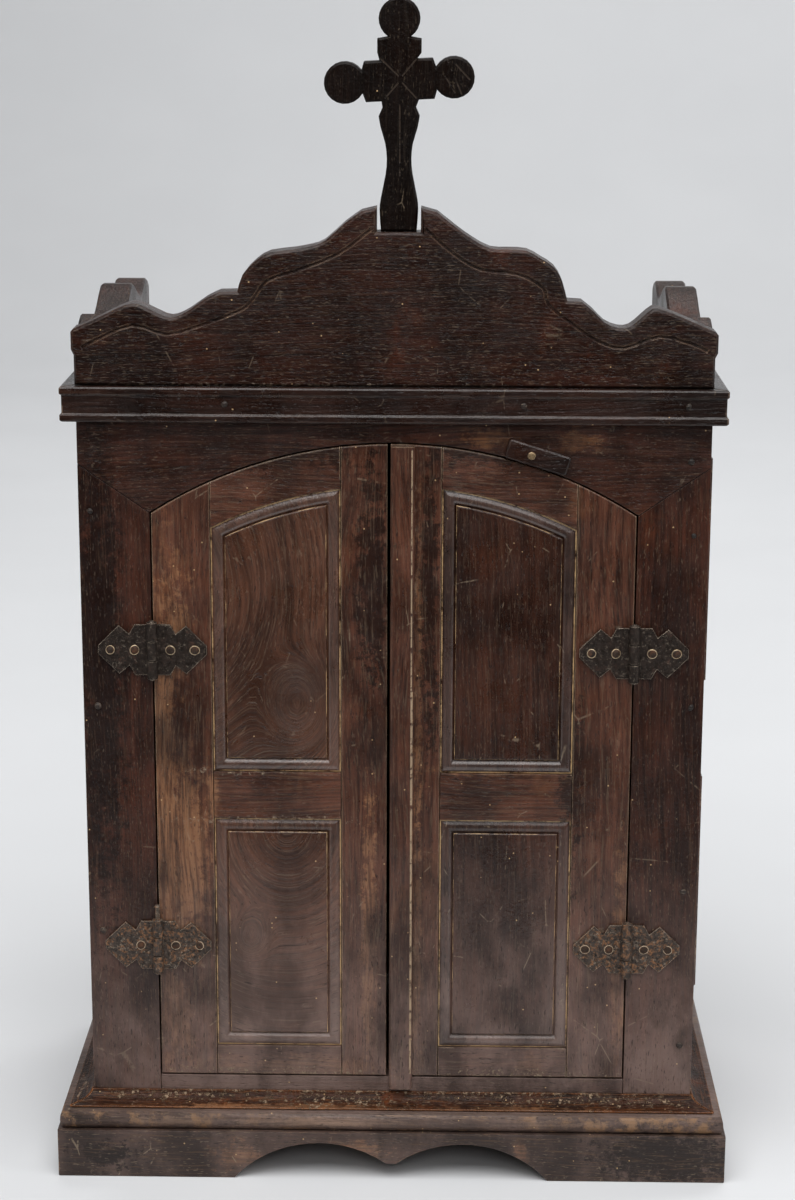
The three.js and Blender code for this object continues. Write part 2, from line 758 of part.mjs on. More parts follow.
// Astragal: a rounded strip on the right door's meeting edge that stands below the door's foot
function buildAstragal(door) {
    const left = meetingOffset + meetingGap / 2;
    const right = left + astragalWidth;
    const bottom = doorBottom - astragalDrop;
    const top = archHeight(Math.abs(right), doorGap + fit);
    const front = faceY - astragalThickness;
    const round = astragalRound;
    const profile = [
        point(left, faceY - fit),
        ...arc(left + round, front + round, round, 180, 270, 3),
        ...arc(right - round, front + round, round, 270, 360, 3),
        point(right, faceY - fit),
    ];
    const geometry = extruded(profile, top - bottom).translate(0, 0, bottom);
    hang(door, 'door_right_astragal', geometry, doorWood);
}

// Butterfly hinges: each leaf a plate with a barbed end, its share of the knuckle and two nails
function leafPlate(side) {
    const upper = [
        point(0, leafHalfHeight),
        point(leafShoulderReach, leafHalfHeight),
        point(leafNotchReach, leafNotchHalf),
        point(leafBarbReach, leafBarbHalf),
        point(leafReach, leafTipHalf),
    ];
    const lower = upper.map((p) => point(p.x, -p.y)).reverse();
    const outline = [...upper, ...lower].map((p) => point(side * p.x, p.y));
    return frontBoard(outline, knuckleRadius - leafThickness, leafThickness);
}

function upright(radius, bottom, top, sides) {
    const geometry = new THREE.CylinderGeometry(radius, radius, top - bottom, sides);
    geometry.rotateX(Math.PI / 2);
    return geometry.translate(0, 0, (bottom + top) / 2);
}

function nailHead(x, y, z, radius, height) {
    const profile = [point(0, 0), point(radius, 0), point(radius * 0.8, height * 0.7), point(0, height)];
    const geometry = new THREE.LatheGeometry(profile, 8);
    geometry.rotateX(Math.PI);
    return geometry.translate(x, y, z);
}

function hingeLeaf(side, ownSpans, otherSpans, missingOuterNail) {
    const plateFront = knuckleRadius - leafThickness;
    const nailY = plateFront + fit / 3;
    const pieces = [leafPlate(side)];
    for (const [bottom, top] of ownSpans) {
        pieces.push(upright(knuckleRadius, bottom, top, 12));
    }
    pieces.push(nailHead(side * innerNailReach, nailY, 0, nailRadius, nailHeight));
    if (!missingOuterNail) {
        pieces.push(nailHead(side * outerNailReach, nailY, 0, nailRadius, nailHeight));
    }
    let leaf = joined(pieces);
    const clearRadius = knuckleRadius + knuckleSeam;
    for (const [bottom, top] of otherSpans) {
        leaf = leaf.subtract(solidOf(upright(clearRadius, bottom - knuckleSeam, top + knuckleSeam, 12)));
    }
    const bore = upright(pinRadius + pinPlay, -knuckleHalfHeight - 1, knuckleHalfHeight + 1, 10);
    return geometryOf(leaf.subtract(solidOf(bore)));
}

function buildHinge(door, side, label, place, z, pinRise, missingOuterNail) {
    const outerSpans = [
        [-knuckleHalfHeight, -knuckleMiddleHalf - knuckleSeam],
        [knuckleMiddleHalf + knuckleSeam, knuckleHalfHeight],
    ];
    const middleSpan = [[-knuckleMiddleHalf, knuckleMiddleHalf]];
    const x = side * hingeAxisX;
    const name = `hinge_${label}_${place}`;
    const frameLeaf = hingeLeaf(side, outerSpans, middleSpan, missingOuterNail);
    const doorLeaf = hingeLeaf(-side, middleSpan, outerSpans, false);
    add(altar, `${name}_frame_leaf`, frameLeaf.translate(x, hingeAxisY, z), wroughtIron);
    add(door, `${name}_door_leaf`, doorLeaf.translate(0, 0, z), wroughtIron);
    const pin = upright(pinRadius, -knuckleHalfHeight - pinStand, knuckleHalfHeight + pinRise, 10);
    add(altar, `${name}_pin`, pin.translate(x, hingeAxisY, z), wroughtIron);
}

// Turn button on the head rail, laid along the arch so that its edge just clears the right door
function buildTurnButton() {
    const pivotRadius = archRadius + buttonWidth / 2 + buttonStandOff;
    const pivotZ = archCentre + Math.sqrt(pivotRadius ** 2 - buttonPivotOffset ** 2);
    const button = new THREE.Group();
    button.position.set(buttonPivotOffset, faceY - buttonStandOff, pivotZ);
    button.rotation.y = Math.asin(buttonPivotOffset / pivotRadius);
    altar.add(button);
    const halfW = buttonWidth / 2;
    const corner = buttonCorner;
    const outline = [
        ...arc(-buttonShortEnd + corner, -halfW + corner, corner, 180, 270, 2),
        ...arc(buttonLongEnd - corner, -halfW + corner, corner, 270, 360, 2),
        ...arc(buttonLongEnd - corner, halfW - corner, corner, 0, 90, 2),
        ...arc(-buttonShortEnd + corner, halfW - corner, corner, 90, 180, 2),
    ];
    const holeSides = 12;
    const lastHoleAngle = 360 - 360 / holeSides;
    const hole = arc(0, 0, buttonNailRadius + buttonNailPlay, 0, lastHoleAngle, holeSides - 1);
    const blank = solidOf(extruded(outline, buttonThickness, buttonEase));
    const bore = solidOf(extruded(hole, buttonThickness + 2).translate(0, 0, -1));
    const bored = geometryOf(blank.subtract(bore));
    add(button, 'turn_button', placed(bored, alongX, alongZ, 0, 0, 0), doorWood);

    const headY = faceY - buttonStandOff - buttonThickness - fit;
    const shankLength = buttonStandOff + buttonThickness;
    const shank = new THREE.CylinderGeometry(buttonNailRadius, buttonNailRadius, shankLength, 10);
    shank.translate(buttonPivotOffset, headY - fit + shankLength / 2, pivotZ);
    const head = nailHead(buttonPivotOffset, headY, pivotZ, buttonNailHeadRadius, buttonNailHeadHeight);
    add(altar, 'turn_button_nail', geometryOf(joined([shank, head])), agedBrass);
}

buildPlinth();
buildFloorBoard();
buildBaseCove();
buildCase();
buildTop();
buildCrest();
buildGalleries();
buildCross();
const leftDoor = buildDoor(-1, 'left');
const rightDoor = buildDoor(1, 'right');
buildAstragal(rightDoor);
const upperHingeZ = springHeight - upperHingeDrop;
const lowerHingeZ = caseBottom + lowerHingeRise;
buildHinge(leftDoor, -1, 'left', 'upper', upperHingeZ, pinStand, false);
buildHinge(leftDoor, -1, 'left', 'lower', lowerHingeZ, risenPinStand, true);
buildHinge(rightDoor, 1, 'right', 'upper', upperHingeZ, pinStand, false);
buildHinge(rightDoor, 1, 'right', 'lower', lowerHingeZ, pinStand, false);
buildTurnButton();

export default altar;
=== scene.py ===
"""Looks of a hardwood home altar: its worn timber, its wrought hinges, and the plain studio round it.

Metres, +Z up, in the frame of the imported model. The front faces -Y.
"""

import logging
import math
import random
from dataclasses import dataclass, replace
from enum import Enum
from typing import Callable, Iterable, Sequence

import bmesh
import bpy
from mathutils import Matrix, Vector


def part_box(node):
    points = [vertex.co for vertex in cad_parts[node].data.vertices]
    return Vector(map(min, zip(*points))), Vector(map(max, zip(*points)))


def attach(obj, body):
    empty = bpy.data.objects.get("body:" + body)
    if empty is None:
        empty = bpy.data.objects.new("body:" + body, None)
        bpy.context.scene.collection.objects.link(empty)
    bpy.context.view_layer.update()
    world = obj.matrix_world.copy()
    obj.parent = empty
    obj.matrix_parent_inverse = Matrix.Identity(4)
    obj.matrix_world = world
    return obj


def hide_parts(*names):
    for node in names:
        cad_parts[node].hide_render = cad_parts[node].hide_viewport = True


Colour = tuple[float, float, float]
Point = tuple[float, float]
RubRule = Callable[[Vector], float]
TimberMap = Callable[[Vector], Vector]

# Places on the altar, in millimetres
FACE_Y = -95.0
HINGE_AXIS_X = 139.05
HINGE_AXIS_Y = -98.4
CASE_HALF = 180.0
OPENING_HALF = 139.5
ARCH_CENTRE = 189.65
ARCH_RADIUS = 256.25
DOOR_GAP = 0.9
DOOR_BOTTOM = 58.5

MM = 0.001
MERGE_DISTANCE = 2e-6
FLAT_ANGLE = math.radians(0.6)
EDGE_ANGLE = math.radians(28)
GROOVE_ANGLE = math.radians(50)
NUMBER = "NodeSocketFloat"
VECTOR = "NodeSocketVector"
LOG = logging.getLogger("home_altar")

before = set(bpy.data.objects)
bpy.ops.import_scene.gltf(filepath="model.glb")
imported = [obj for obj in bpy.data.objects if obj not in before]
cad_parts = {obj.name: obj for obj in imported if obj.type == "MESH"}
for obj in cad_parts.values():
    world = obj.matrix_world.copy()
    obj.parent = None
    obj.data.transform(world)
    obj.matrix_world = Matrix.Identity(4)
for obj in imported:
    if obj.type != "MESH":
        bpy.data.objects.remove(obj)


class Axis(Enum):
    """Direction that the grain of a board runs in."""

    ALONG_X = Vector((1.0, 0.0, 0.0))
    ALONG_Y = Vector((0.0, 1.0, 0.0))
    ALONG_Z = Vector((0.0, 0.0, 1.0))


class Face(Enum):
    """Direction that the broad face of a board looks in."""

    FRONT = Vector((0.0, -1.0, 0.0))
    SIDE = Vector((1.0, 0.0, 0.0))
    TOP = Vector((0.0, 0.0, 1.0))


class Body(Enum):
    """Moving body that a piece rides on."""

    CASE = "case"
    LEFT_DOOR = "left_door"
    RIGHT_DOOR = "right_door"
    BUTTON = "turn_button_body"


class Slot(Enum):
    """Material slot of the record."""

    CASE_WOOD = "case_wood"
    DOOR_WOOD = "door_wood"
    PANEL_WOOD = "panel_wood"
    BACK_WOOD = "back_wood"
    IRON = "wrought_iron"
    BRASS = "aged_brass"


class Graph:
    """Short calls that add nodes to one node tree and link them."""

    def __init__(self, tree: bpy.types.NodeTree) -> None:
        """Starts on a tree.

        Args:
            tree: The shader or geometry tree that the nodes go into.
        """
        self.tree = tree

    def node(self, kind: str, inputs: dict | None = None, **settings: object) -> bpy.types.Node:
        """Adds a node.

        Args:
            kind: Blender's name of the node type.
            inputs: What its input sockets are given, by name or number.
            settings: Properties set on the node.

        Returns:
            The new node.
        """
        made = self.tree.nodes.new(kind)
        for name, value in settings.items():
            setattr(made, name, value)
        for name, value in (inputs or {}).items():
            self.feed(made.inputs[name], value)
        return made

    def feed(self, target: bpy.types.NodeSocket, value: object) -> None:
        """Links a socket to another, or sets its constant.

        Args:
            target: The input socket.
            value: An output socket, a number, a vector or a colour.
        """
        if isinstance(value, bpy.types.NodeSocket):
            self.tree.links.new(value, target)
        elif isinstance(value, tuple) and len(value) == 3 and target.type == "RGBA":
            target.default_value = (*value, 1.0)
        else:
            target.default_value = value

    def maths(self, operation: str, *values: object, clamp: bool = False) -> bpy.types.NodeSocket:
        """Adds a Math node.

        Args:
            operation: The operation, such as MULTIPLY.
            values: One to three inputs.
            clamp: Whether the result stays from 0 to 1.

        Returns:
            The result.
        """
        made = self.node("ShaderNodeMath", operation=operation, use_clamp=clamp)
        for socket, value in zip(made.inputs, values):
            self.feed(socket, value)
        return made.outputs[0]

    def place(self) -> bpy.types.NodeSocket:
        """Adds the object coordinates."""
        return self.node("ShaderNodeTexCoord").outputs["Object"]

    def attribute(self, name: str, output: str = "Fac") -> bpy.types.NodeSocket:
        """Adds a value that the mesh stores under a name."""
        return self.node("ShaderNodeAttribute", attribute_name=name).outputs[output]

    def times(self, first: object, second: object, clamp: bool = False) -> bpy.types.NodeSocket:
        """Multiplies two values; clamp holds the product from 0 to 1."""
        return self.maths("MULTIPLY", first, second, clamp=clamp)

    def plus(self, first: object, second: object, clamp: bool = False) -> bpy.types.NodeSocket:
        """Adds two values; clamp holds the sum from 0 to 1."""
        return self.maths("ADD", first, second, clamp=clamp)

    def minus(self, first: object, second: object) -> bpy.types.NodeSocket:
        """Takes the second value from the first."""
        return self.maths("SUBTRACT", first, second)

    def ramp(self, value: object, start: object, width: float) -> bpy.types.NodeSocket:
        """Rises straight from 0 at start to 1 at start plus width."""
        return self.maths("DIVIDE", self.minus(value, start), width, clamp=True)

    def vector(self, operation: str, *values: object) -> bpy.types.Node:
        """Adds a Vector Math node.

        Args:
            operation: The operation, such as ADD.
            values: Its inputs in order.

        Returns:
            The node.
        """
        made = self.node("ShaderNodeVectorMath", operation=operation)
        for socket, value in zip(made.inputs, values):
            self.feed(socket, value)
        return made

    def spread(self, value: object, low: float, high: float, start: float = 0.0, end: float = 1.0):
        """Maps low..high smoothly onto start..end.

        Args:
            value: The socket to map.
            low: Value that gives start.
            high: Value that gives end.
            start: Result at low.
            end: Result at high.

        Returns:
            The mapped value.
        """
        inputs = {"Value": value, "From Min": low, "From Max": high, "To Min": start, "To Max": end}
        return self.node("ShaderNodeMapRange", inputs, interpolation_type="SMOOTHSTEP").outputs["Result"]

    def scaled(self, vector: object, scale: tuple, location: tuple = (0.0, 0.0, 0.0)):
        """Adds a Mapping node.

        Args:
            vector: The coordinates.
            scale: Factor on each axis.
            location: Shift on each axis, after scaling.

        Returns:
            The mapped coordinates.
        """
        inputs = {"Vector": vector, "Scale": scale, "Location": location}
        return self.node("ShaderNodeMapping", inputs).outputs["Vector"]

    def noise(self, vector: object, scale: object, detail: float = 3.0, roughness: float = 0.55):
        """Adds a Noise texture.

        Args:
            vector: The coordinates.
            scale: Its scale, a number or a socket.
            detail: Its octaves.
            roughness: How strong the fine octaves are.

        Returns:
            The noise value, about 0.3 to 0.7 for most points.
        """
        inputs = {"Vector": vector, "Scale": scale, "Detail": detail, "Roughness": roughness}
        return self.node("ShaderNodeTexNoise", inputs).outputs["Fac"]

    def blend(self, factor: object, first: object, second: object, mode: str = "MIX"):
        """Mixes two colours.

        Args:
            factor: Share of the second.
            first: A colour or socket.
            second: A colour or socket.
            mode: Blend mode.

        Returns:
            The mixed colour.
        """
        made = self.node("ShaderNodeMix", data_type="RGBA", blend_type=mode)
        colours = [socket for socket in made.inputs if socket.type == "RGBA"]
        self.feed(made.inputs[0], factor)
        self.feed(colours[0], first)
        self.feed(colours[1], second)
        return [socket for socket in made.outputs if socket.type == "RGBA"][0]

    def use(self, group: bpy.types.NodeTree, **values: object) -> bpy.types.Node:
        """Places a shared group.

        Args:
            group: The group's tree.
            values: Its inputs, with spaces written as underscores.

        Returns:
            The group node.
        """
        inputs = {name.replace("_", " "): value for name, value in values.items()}
        return self.node("ShaderNodeGroup", inputs, node_tree=group)

    def surface(self, inputs: dict, height: object, strength: float, depth: float) -> None:
        """Ends a material's tree with a bumped Principled shader.

        Args:
            inputs: What the shader's inputs are given, by name.
            height: Height of the surface.
            strength: Strength of the bump.
            depth: Distance of the bump.
        """
        bump = self.node("ShaderNodeBump", {"Strength": strength, "Distance": depth, "Height": height})
        shader = self.node("ShaderNodeBsdfPrincipled", {**inputs, "Normal": bump.outputs["Normal"]})
        self.node("ShaderNodeOutputMaterial", {"Surface": shader.outputs["BSDF"]})


def blank_material(name: str) -> tuple[bpy.types.Material, Graph]:
    """Makes an empty material.

    Args:
        name: Its name.

    Returns:
        The material and the graph of its tree.
    """
    material = bpy.data.materials.new(name)
    material.use_nodes = True
    material.node_tree.nodes.clear()
    return material, Graph(material.node_tree)


def plain_mesh(work: bmesh.types.BMesh, name: str) -> bpy.types.Mesh:
    """Turns a working mesh into a plain one and frees it.

    Args:
        work: The working mesh.
        name: Name of the plain one.

    Returns:
        The plain mesh.
    """
    mesh = bpy.data.meshes.new(name)
    work.to_mesh(mesh)
    work.free()
    return mesh


def add_object(name: str, data: bpy.types.ID) -> bpy.types.Object:
    """Adds an object to the scene.

    Args:
        name: Its name.
        data: Its mesh, light or camera.

    Returns:
        The object, at the origin.
    """
    made = bpy.data.objects.new(name, data)
    bpy.context.scene.collection.objects.link(made)
    return made


def new_group(name: str, kind: str, inputs: Iterable[tuple], outputs: Iterable[tuple]):
    """Makes an empty node group with named sockets.

    Args:
        name: Name of the group.
        kind: ShaderNodeTree or GeometryNodeTree.
        inputs: Name, socket type and value of each input; the value may be None.
        outputs: Name and socket type of each output.

    Returns:
        The graph of the new tree, its input node and its output node.
    """
    tree = bpy.data.node_groups.new(name, kind)
    for label, socket_type, value in inputs:
        socket = tree.interface.new_socket(label, in_out="INPUT", socket_type=socket_type)
        if value is not None:
            socket.default_value = value
    for label, socket_type in outputs:
        tree.interface.new_socket(label, in_out="OUTPUT", socket_type=socket_type)
    graph = Graph(tree)
    return graph, graph.node("NodeGroupInput"), graph.node("NodeGroupOutput")


class SharedEffects:
    """Shader groups that the finishes share, each built once."""

    def __init__(self) -> None:
        """Builds every group."""
        self.timber = self.build_timber()
        self.dirt = self.build_dirt()
        self.edge_wear_and_highlight = self.build_edge_wear_and_highlight()
        self.ledge_dust = self.build_ledge_dust()
        self.painted_sheen = self.build_painted_sheen()
        self.spot = self.build_spot()
        self.scored = self.build_scored()
        self.hammered = self.build_hammered()

    def build_timber(self) -> bpy.types.NodeTree:
        """Growth rings, fibres, streaks and pores along a board.

        Returns:
            The group's tree.
        """
        inputs = [
            ("Grain", VECTOR, None), ("Ring Spacing", NUMBER, 0.005), ("Wobble", NUMBER, 0.02),
            ("Pore Density", NUMBER, 0.5),
        ]
        outputs = [
            ("Rings", NUMBER), ("Fibres", NUMBER), ("Streaks", NUMBER), ("Pores", NUMBER),
            ("Filled Pores", NUMBER),
        ]
        graph, start, end = new_group("Timber", "ShaderNodeTree", inputs, outputs)
        grain = start.outputs["Grain"]
        long_grain = graph.scaled(grain, (0.22, 1.0, 1.0))
        drift = graph.node("ShaderNodeTexNoise", {"Vector": long_grain, "Scale": 18.0, "Detail": 2.0})
        centred = graph.vector("SUBTRACT", drift.outputs["Color"], (0.5, 0.5, 0.5)).outputs[0]
        shift = graph.vector("SCALE", centred)
        graph.feed(shift.inputs["Scale"], start.outputs["Wobble"])
        drifted = graph.vector("ADD", grain, shift.outputs[0]).outputs[0]
        rings = graph.node("ShaderNodeTexWave", {
            "Vector": drifted,
            "Scale": graph.maths("DIVIDE", 0.314, start.outputs["Ring Spacing"]),
            "Distortion": 1.2,
            "Detail": 2.0,
            "Detail Scale": 1.5,
        }, wave_type="RINGS", rings_direction="X")
        graph.feed(end.inputs["Rings"], rings.outputs["Fac"])
        fibres = graph.noise(graph.scaled(drifted, (22.0, 620.0, 620.0)), 1.0, 4.0, 0.62)
        graph.feed(end.inputs["Fibres"], fibres)
        streaks = graph.noise(graph.scaled(drifted, (38.0, 1250.0, 1250.0), (5.0, 2.0, 9.0)), 1.0, 2.0, 0.55)
        graph.feed(end.inputs["Streaks"], graph.spread(streaks, 0.54, 0.68))
        dashes = graph.noise(graph.scaled(drifted, (230.0, 1500.0, 1500.0)), 1.0, 1.0, 0.5)
        limit = graph.minus(0.76, graph.times(start.outputs["Pore Density"], 0.2))
        pores = graph.ramp(dashes, limit, 0.05)
        graph.feed(end.inputs["Pores"], pores)
        filled = graph.noise(graph.scaled(drifted, (270.0, 1350.0, 1350.0), (3.0, 7.0, 5.0)), 1.0, 1.0, 0.5)
        pale = graph.ramp(filled, limit, 0.06)
        graph.feed(end.inputs["Filled Pores"], pale)
        return graph.tree

    def build_dirt(self) -> bpy.types.NodeTree:
        """Smoky stains, pale specks and fine scratches of long use.

        Returns:
            The group's tree.
        """
        inputs = [("Stain Scale", NUMBER, 22.0), ("Speck Share", NUMBER, 0.12)]
        outputs = [("Stains", NUMBER), ("Specks", NUMBER), ("Scratches", NUMBER)]
        graph, start, end = new_group("Old Dirt", "ShaderNodeTree", inputs, outputs)
        place = graph.place()
        clouds = graph.noise(graph.scaled(place, (1.0, 1.0, 0.55)), start.outputs["Stain Scale"], 6.0, 0.64)
        graph.feed(end.inputs["Stains"], graph.spread(clouds, 0.4, 0.64))
        specks = graph.node("ShaderNodeTexVoronoi", {"Vector": place, "Scale": 420.0}, feature="F1")
        small = graph.spread(specks.outputs["Distance"], 0.26, 0.12)
        chance = graph.node("ShaderNodeSeparateColor", {0: specks.outputs["Color"]})
        level = graph.minus(1.0, start.outputs["Speck Share"])
        chosen = graph.maths("GREATER_THAN", chance.outputs[0], level)
        graph.feed(end.inputs["Specks"], graph.times(small, chosen))
        cracks = graph.node("ShaderNodeTexVoronoi", {
            "Vector": graph.scaled(place, (1.0, 1.0, 0.7)),
            "Scale": 34.0,
        }, feature="DISTANCE_TO_EDGE")
        thin = graph.spread(cracks.outputs["Distance"], 0.014, 0.004)
        broken = graph.spread(graph.noise(place, 60.0, 4.0, 0.7), 0.56, 0.64)
        graph.feed(end.inputs["Scratches"], graph.times(thin, broken))
        return graph.tree

    def build_edge_wear_and_highlight(self) -> bpy.types.NodeTree:
        """Broken mask along sharp edges, of wear and of painted highlights.

        Returns:
            The group's tree.
        """
        inputs = [
            ("Radius", NUMBER, 0.0012), ("Cover", NUMBER, 0.5), ("Rub", NUMBER, 0.0),
            ("Breaks", NUMBER, 60.0),
        ]
        graph, start, end = new_group("Edge Wear And Highlight", "ShaderNodeTree", inputs, [("Mask", NUMBER)])
        rounded = graph.node("ShaderNodeBevel", {"Radius": start.outputs["Radius"]}, samples=4)
        plain = graph.node("ShaderNodeNewGeometry")
        bent = graph.vector("DOT_PRODUCT", rounded.outputs["Normal"], plain.outputs["True Normal"])
        edge = graph.spread(bent.outputs["Value"], 0.985, 0.82)
        place = graph.place()
        patches = graph.noise(place, start.outputs["Breaks"], 5.0, 0.7)
        rubbed = graph.times(start.outputs["Rub"], 0.22)
        cover = graph.maths("MULTIPLY_ADD", start.outputs["Cover"], 0.22, rubbed)
        level = graph.minus(0.72, cover)
        broken = graph.ramp(patches, level, 0.1)
        graph.feed(end.inputs["Mask"], graph.times(edge, broken))
        return graph.tree

    def build_ledge_dust(self) -> bpy.types.NodeTree:
        """Mask of dust lying just above a ledge and on it.

        Returns:
            The group's tree.
        """
        inputs = [("Reach", NUMBER, 0.006), ("Cover", NUMBER, 0.5)]
        graph, start, end = new_group("Ledge Dust", "ShaderNodeTree", inputs, [("Mask", NUMBER)])
        facing = graph.node("ShaderNodeNewGeometry").outputs["Normal"]
        lowered = graph.vector("ADD", facing, (0.0, 0.0, -0.7)).outputs[0]
        open_sky = graph.node("ShaderNodeAmbientOcclusion", {
            "Distance": start.outputs["Reach"],
            "Normal": graph.vector("NORMALIZE", lowered).outputs[0],
        }, samples=4)
        closed = graph.spread(open_sky.outputs["AO"], 0.86, 0.5)
        place = graph.place()
        clumps = graph.noise(place, 95.0, 6.0, 0.72)
        level = graph.minus(0.7, graph.times(start.outputs["Cover"], 0.4))
        broken = graph.ramp(clumps, level, 0.14)
        graph.feed(end.inputs["Mask"], graph.times(closed, broken))
        return graph.tree

    def build_painted_sheen(self) -> bpy.types.NodeTree:
        """Cloudy mask of a painted grey sheen, the pale floor's reflection painted onto the lower parts, that
        thins out with height.

        Returns:
            The group's tree.
        """
        inputs = [("Top Height", NUMBER, 0.45), ("Amount", NUMBER, 0.5)]
        graph, start, end = new_group("Painted Grey Sheen", "ShaderNodeTree", inputs, [("Mask", NUMBER)])
        place = graph.place()
        parts = graph.node("ShaderNodeSeparateXYZ", {0: place})
        fade = graph.node("ShaderNodeMapRange", {
            "Value": parts.outputs["Z"],
            "From Min": start.outputs["Top Height"],
            "From Max": 0.05,
            "To Min": 0.0,
            "To Max": 1.0,
        }, interpolation_type="LINEAR")
        clouds = graph.spread(graph.noise(place, 16.0, 4.0, 0.6), 0.3, 0.6, 0.35, 1.0)
        soft = graph.times(clouds, fade.outputs["Result"])
        graph.feed(end.inputs["Mask"], graph.times(soft, start.outputs["Amount"]))
        return graph.tree

    def build_spot(self) -> bpy.types.NodeTree:
        """Ragged mask round one place on the altar.

        Returns:
            The group's tree.
        """
        inputs = [("Centre", VECTOR, None), ("Size", VECTOR, None), ("Ragged", NUMBER, 0.5)]
        graph, start, end = new_group("Ragged Spot", "ShaderNodeTree", inputs, [("Mask", NUMBER)])
        place = graph.place()
        offset = graph.vector("SUBTRACT", place, start.outputs["Centre"]).outputs[0]
        relative = graph.vector("DIVIDE", offset, start.outputs["Size"]).outputs[0]
        distance = graph.vector("LENGTH", relative).outputs["Value"]
        rough = graph.minus(graph.noise(place, 130.0, 7.0, 0.8), 0.5)
        ragged = graph.times(graph.times(rough, start.outputs["Ragged"]), 4.0)
        graph.feed(end.inputs["Mask"], graph.spread(graph.plus(distance, ragged), 1.05, 0.45))
        return graph.tree

    def build_scored(self) -> bpy.types.NodeTree:
        """Mask of one line scored between two points of the front face.

        Returns:
            The group's tree.
        """
        inputs = [("From", VECTOR, None), ("To", VECTOR, None), ("Width", NUMBER, 0.0005)]
        graph, start, end = new_group("Scored Line", "ShaderNodeTree", inputs, [("Mask", NUMBER)])
        place = graph.place()
        flat = graph.vector("MULTIPLY", place, (1.0, 0.0, 1.0)).outputs[0]
        offset = graph.vector("SUBTRACT", flat, start.outputs["From"]).outputs[0]
        reach = graph.vector("SUBTRACT", start.outputs["To"], start.outputs["From"]).outputs[0]
        along = graph.vector("DOT_PRODUCT", offset, reach).outputs["Value"]
        length = graph.vector("DOT_PRODUCT", reach, reach).outputs["Value"]
        nearest = graph.vector("SCALE", reach)
        graph.feed(nearest.inputs["Scale"], graph.maths("DIVIDE", along, length, clamp=True))
        apart = graph.vector("SUBTRACT", offset, nearest.outputs[0]).outputs[0]
        distance = graph.vector("LENGTH", apart).outputs["Value"]
        ratio = graph.maths("DIVIDE", distance, start.outputs["Width"])
        worn = graph.spread(graph.noise(place, 180.0, 3.0, 0.6), 0.35, 0.5)
        graph.feed(end.inputs["Mask"], graph.times(graph.spread(ratio, 1.0, 0.4), worn))
        return graph.tree

    def build_hammered(self) -> bpy.types.NodeTree:
        """Height and pitting of forged iron.

        Returns:
            The group's tree.
        """
        inputs = [("Blow Scale", NUMBER, 260.0), ("Rust", NUMBER, 0.4), ("Mottle Scale", NUMBER, 210.0)]
        outputs = [("Height", NUMBER), ("Rust Mask", NUMBER), ("Pits", NUMBER), ("Crust", NUMBER)]
        graph, start, end = new_group("Forged Surface", "ShaderNodeTree", inputs, outputs)
        place = graph.place()
        blows = graph.node("ShaderNodeTexVoronoi", {
            "Vector": place,
            "Scale": start.outputs["Blow Scale"],
            "Smoothness": 0.8,
        }, feature="SMOOTH_F1")
        pits = graph.spread(graph.noise(place, 700.0, 4.0, 0.7), 0.54, 0.66)
        fine = graph.noise(place, 420.0, 5.0, 0.7)
        height = graph.plus(blows.outputs["Distance"], fine)
        graph.feed(end.inputs["Height"], graph.minus(height, graph.times(pits, 0.6)))
        patches = graph.noise(place, start.outputs["Mottle Scale"], 6.0, 0.75)
        level = graph.minus(0.78, graph.times(start.outputs["Rust"], 0.5))
        rusty = graph.ramp(patches, level, 0.12)
        graph.feed(end.inputs["Rust Mask"], rusty)
        graph.feed(end.inputs["Pits"], pits)
        crust = graph.noise(graph.scaled(place, (1.0, 1.0, 1.0), (2.0, 5.0, 1.0)), 520.0, 5.0, 0.75)
        graph.feed(end.inputs["Crust"], graph.spread(crust, 0.55, 0.66))
        return graph.tree


@dataclass(frozen=True)
class RaggedSpot:
    """A ragged place on a finish, in millimetres: worn down to warmer wood in one list, dusty in another,
    darkened in a third.
    """

    centre: tuple[float, float, float]
    size: tuple[float, float, float]
    ragged: float = 0.45


